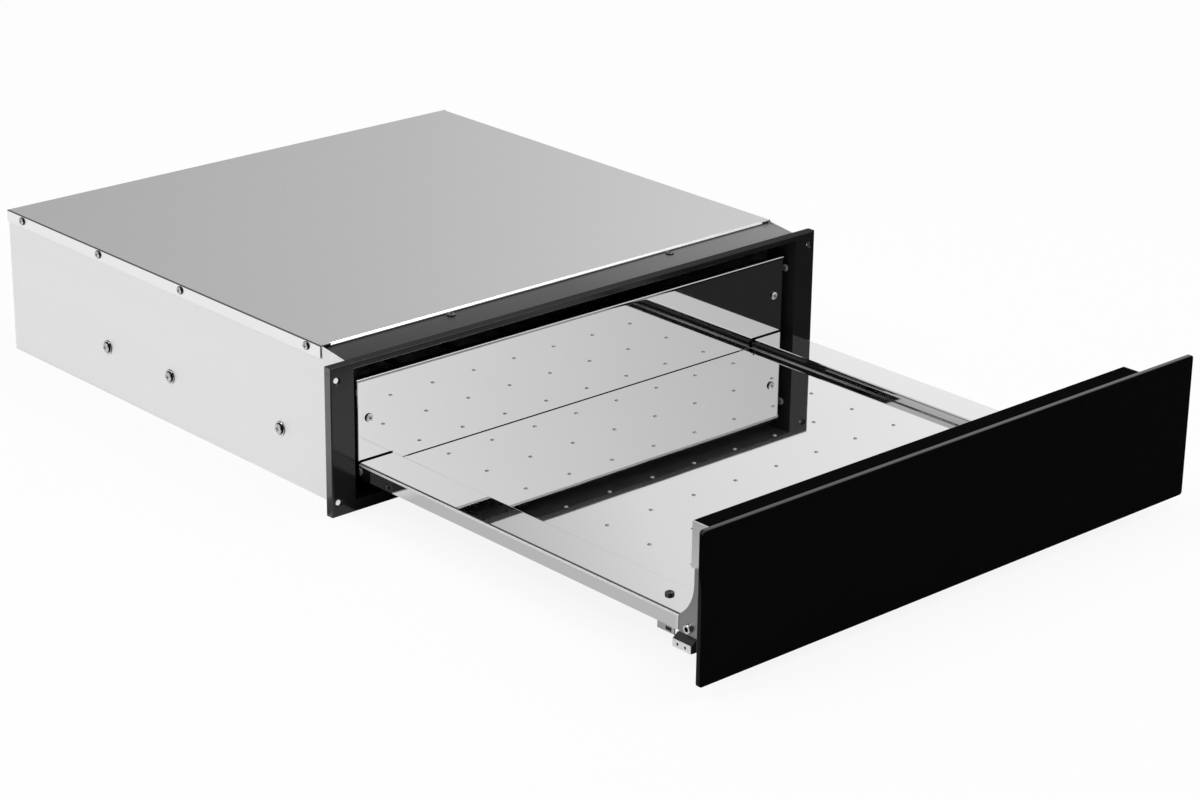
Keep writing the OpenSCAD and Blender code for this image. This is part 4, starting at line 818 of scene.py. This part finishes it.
def make_rear_wall():
    """The tray's rear wall: a sheet with its top and its sides bent back."""
    bm = bmesh.new()
    flat_out, flat_top = WALL_OUT - WALL_REACH, WALL_TOP - WALL_REACH
    tongue_out, foot, shoulder = STEP_OUT + 0.3, FLOOR_TOP + 0.7, LEDGE_TOP + 1
    cut_sheet(bm, [(-tongue_out, foot), (tongue_out, foot), (tongue_out, shoulder), (flat_out, shoulder),
                   (flat_out, flat_top), (-flat_out, flat_top), (-flat_out, shoulder), (-tongue_out, shoulder)],
              WALL_FRONT, WALL_FRONT + SHEET, "Y")
    folded(bm, [(WALL_FRONT, flat_top), (WALL_FRONT, WALL_TOP), (WALL_FRONT + 7, WALL_TOP)],
           span=(-WALL_OUT, WALL_OUT), axis="X")
    both_sides(bm, lambda half: folded(
        half, [(WALL_OUT, WALL_FRONT + 9), (WALL_OUT, WALL_FRONT), (flat_out, WALL_FRONT)],
        span=(shoulder, flat_top), axis="Z"))
    keep(to_object("rear_wall_finish", bm, finish["tray_steel"]), "drawer", ["tray_rear_wall"])


def make_cover():
    """The lid: bent down at the sides and the rear, with a sloping hem along the front."""
    bm = bmesh.new()
    flat_out, flat_back, under = COVER_OUT - FLANGE_REACH, COVER_BACK - FLANGE_REACH, COVER_TOP - SHEET
    cut_sheet(bm, oblong(-flat_out, flat_out, HEM_BACK, flat_back), under, COVER_TOP)

    def side(half):
        folded(half, [(flat_out, COVER_TOP), (COVER_OUT, COVER_TOP), (COVER_OUT, FLANGE_FOOT)],
               span=(FLANGE_FRONT, flat_back))
        cut_sheet(half, oblong(flat_back, COVER_BACK - SHEET, FLANGE_FOOT, under), COVER_OUT - SHEET, COVER_OUT, "X")
        cut_sheet(half, oblong(HEM_OUT, flat_out, HEM_FRONT - 0.1, HEM_BACK), under, COVER_TOP)

    both_sides(bm, side)
    folded(bm, [(flat_back, COVER_TOP), (COVER_BACK, COVER_TOP), (COVER_BACK, FLANGE_FOOT)],
           span=(-COVER_OUT, COVER_OUT), axis="X")
    slope = 2.3
    folded(bm, [(36, HEM_FOOT), (HEM_FRONT, HEM_FOOT), (HEM_FRONT, COVER_TOP - slope), (HEM_FRONT + slope, COVER_TOP),
                (HEM_BACK, COVER_TOP)], thick=0.9, inner_radius=0.1, span=(-HEM_OUT, HEM_OUT), axis="X", steps=3)
    keep(to_object("cover_finish", bm, finish["cover_steel"]), "casing", ["top_cover"])


make_tray()
make_rear_wall()
make_cover()


# ----------------------------------------------------------- floor and studio

FLOOR_TONE = 0.88
FLOOR_REACH = 14
FLOOR_GLOW = 0.895     # the share of plain white in what the camera sees of the floor
# the tone of the painted shade patches
DARK_TONE = 0.02

# Patches of painted shade and light on the floor as polished metal and glass mirror it, with painted shadows of the
# drawer among them. Each row fades a patch in from the first value to the second along X, Y or the slant, which is
# Y plus 1.032 X, in metres.
SLANT = 1.032
# painted light behind the frame, painted shadow beside the tray, painted shade beside the glass
BEHIND_FRAME = (("Y", 0.03, 0.1),)
BESIDE_TRAY = (("X", -0.5, -0.42), ("Y", 0.02, -0.02), ("slant", -0.695, -0.68))
BESIDE_GLASS = (("slant", -0.75, -0.76), ("Y", 0.02, -0.02))
CORNER = (("X", -0.335, -0.345), ("Y", -0.03, -0.05), ("X", -0.62, -0.59))
# painted shade seen only in mirrors; the patch under the drawer is a painted shadow
PAINTED_SHADE_PATCHES = (
    (("X", 0.08, 0.31), ("Y", 0.06, 0.02)),                                                # right of the tray
    (("Y", -0.462, -0.472),),                                                              # before the glass
    (("X", -0.272, -0.27), ("X", 0.33, 0.3), ("Y", -0.47, -0.46)),                         # under the drawer
    (("X", -0.335, -0.33), ("X", -0.297, -0.3), ("Y", 0.0, 0.004), ("Y", 0.032, 0.028)),   # behind the frame's rim
    (("slant", -0.64, -0.6),) + CORNER,                                                    # front left of the frame
    (("X", -0.445, -0.455),) + CORNER,
)


def make_stage():
    """A plain pale floor. It is nearly even white to the camera and keeps a soft shadow. What mirrors it sees the floor
    glow in painted tones: painted shade in patches for the darker surroundings of a studio table, and painted
    shadows of the drawer."""
    bm = bmesh.new()
    for x, y in ((-1, -1), (1, -1), (1, 1), (-1, 1)):
        bm.verts.new((x * FLOOR_REACH, y * FLOOR_REACH, 0))
    bm.faces.new(bm.verts)
    material, n, surface = start_material("pale_floor")
    surface.inputs["Base Color"].default_value = grey(FLOOR_TONE)
    surface.inputs["Roughness"].default_value = 0.9
    surface.inputs["Specular IOR Level"].default_value = 0.0
    glow = n.add("ShaderNodeEmission", {"Color": grey(1.0), "Strength": 1.0})
    here = n.here()
    place = {"X": here["X"], "Y": here["Y"], "slant": n.math("ADD", here["Y"], n.math("MULTIPLY", here["X"], SLANT))}

    def patch(rows, strength=1.0):
        return n.product(*[n.ramp(place[axis], start, full) for axis, start, full in rows], strength)

    # painted light behind the frame; painted shadow beside the tray and painted shade beside the glass
    near = n.math("ADD", FLOOR_TONE, patch(BEHIND_FRAME, 0.05))
    near = n.math("SUBTRACT", near, n.math("ADD", patch(BESIDE_TRAY, 0.34), patch(BESIDE_GLASS, 0.66)))
    away = n.total("MAXIMUM", [patch(rows) for rows in PAINTED_SHADE_PATCHES])
    shade = n.math("ADD", n.product(near, n.math("SUBTRACT", 1.0, away)), n.product(away, DARK_TONE))
    path = n.add("ShaderNodeLightPath")
    tone = n.add("ShaderNodeCombineColor", {0: shade, 1: shade, 2: shade})
    # for mirrors the floor glows in these painted tones instead of being lit
    mirrored = n.add("ShaderNodeEmission", {"Color": tone.outputs[0], "Strength": 1.0})
    seen = n.math("MULTIPLY", path.outputs["Is Camera Ray"], FLOOR_GLOW)
    lit = n.add("ShaderNodeMixShader", {0: seen, 1: surface.outputs[0], 2: glow.outputs[0]})
    mixed = n.add("ShaderNodeMixShader", {0: path.outputs["Is Glossy Ray"], 1: lit.outputs[0], 2: mirrored.outputs[0]})
    end = next(node for node in n.tree.nodes if node.bl_idname == "ShaderNodeOutputMaterial")
    n.tree.links.new(mixed.outputs[0], end.inputs["Surface"])
    to_object("studio_floor", bm, material)


def make_world():
    """White behind the object. What metal mirrors is a studio with a pale ceiling, bright screens behind and to the
    right, and a dark front left."""
    world = bpy.data.worlds.new("studio")
    bpy.context.scene.world = world
    world.use_nodes = True
    world.node_tree.nodes.clear()
    n = Nodes(world.node_tree)
    direction = n.add("ShaderNodeTexCoord").outputs["Generated"]
    axis = n.add("ShaderNodeSeparateXYZ", {0: direction}).outputs

    def shared(share, where_none, where_all):
        """One tone where the share is 0, the other where it is 1."""
        return n.math("ADD", n.product(n.math("SUBTRACT", 1.0, share), where_none), n.product(share, where_all))

    lid_screen = n.math("ADD", n.ramp(axis["X"], 0.3, 0.8, 0.39, 1.04), n.ramp(axis["Z"], 0.1, 0.5, -0.55, 0.49))
    tray_screen = n.math("ADD", n.ramp(axis["X"], 0.585, 0.63, 0.5, 0.78), n.ramp(axis["X"], 0.63, 0.72, 0.0, 0.16))
    behind = shared(n.ramp(axis["Z"], 0.33, 0.36), lid_screen, tray_screen)
    before = n.ramp(axis["X"], 0.56, 0.68, 0.95, 0.62)
    right = shared(n.ramp(axis["Y"], -0.1, 0.1), before, behind)
    low_left = n.math("MINIMUM", n.ramp(axis["Z"], 0.32, 0.28, 0.0, 0.45), n.ramp(axis["Y"], -0.55, -0.35, 0.0, 0.45))
    left = n.math("MAXIMUM", n.ramp(axis["Y"], 0.2, 0.5, 0.008, 0.5), low_left)
    sides = shared(n.ramp(axis["X"], -0.45, 0.2, interpolation_type="SMOOTHSTEP"), left, right)
    level = shared(n.ramp(axis["Z"], 0.62, 0.9, interpolation_type="SMOOTHSTEP"), sides, 0.85)
    tone = n.add("ShaderNodeCombineColor", {0: level, 1: level, 2: level})
    soft = n.add("ShaderNodeBackground", {"Color": tone.outputs[0], "Strength": 1.0})
    white = n.add("ShaderNodeBackground", {"Color": grey(1.0), "Strength": 1.0})
    path = n.add("ShaderNodeLightPath")
    mixed = n.add("ShaderNodeMixShader", {0: path.outputs["Is Camera Ray"], 1: soft.outputs[0], 2: white.outputs[0]})
    n.add("ShaderNodeOutputWorld", {"Surface": mixed.outputs[0]})


def add_lamp(name, place, target, size, power):
    data = bpy.data.lights.new(name, "AREA")
    data.shape, data.size, data.energy = "DISK", size, power
    lamp = bpy.data.objects.new(name, data)
    lamp.location = place
    lamp.rotation_euler = (Vector(target) - Vector(place)).to_track_quat("-Z", "Y").to_euler()
    bpy.context.scene.collection.objects.link(lamp)


# The photo's camera, as fitted to the straight edges of the casing and the drawer: metres, degrees and millimetres.
CAMERA_PLACE = (-1.83795, -2.04281, 1.1035)
CAMERA_TURN, CAMERA_RISE, CAMERA_ROLL = -42.36, 21.26, 0.78
SENSOR_WIDTH, LENS = 36.0, 94.93


def make_camera():
    turn, rise, roll = math.radians(CAMERA_TURN), math.radians(CAMERA_RISE), math.radians(CAMERA_ROLL)
    back = Vector((math.sin(turn) * math.cos(rise), -math.cos(turn) * math.cos(rise), math.sin(rise)))
    right = Vector((math.cos(turn), math.sin(turn), 0))
    up = back.cross(right)
    side = math.cos(roll) * right + math.sin(roll) * up
    top = -math.sin(roll) * right + math.cos(roll) * up
    data = bpy.data.cameras.new("camera")
    data.sensor_width, data.lens = SENSOR_WIDTH, LENS
    data.clip_end = 100
    camera = bpy.data.objects.new("camera", data)
    camera.matrix_world = Matrix.Translation(CAMERA_PLACE) @ Matrix((side, top, back)).transposed().to_4x4()
    bpy.context.scene.collection.objects.link(camera)
    bpy.context.scene.camera = camera


make_stage()
make_world()
add_lamp("key", (-2.6, 0.6, 3.2), (0, 0, 0.1), 1.6, 45)
add_lamp("fill", (1.6, -0.8, 3.4), (0, -0.2, 0.1), 1.8, 30)
make_camera()
bpy.context.scene.view_settings.view_transform = "Standard"
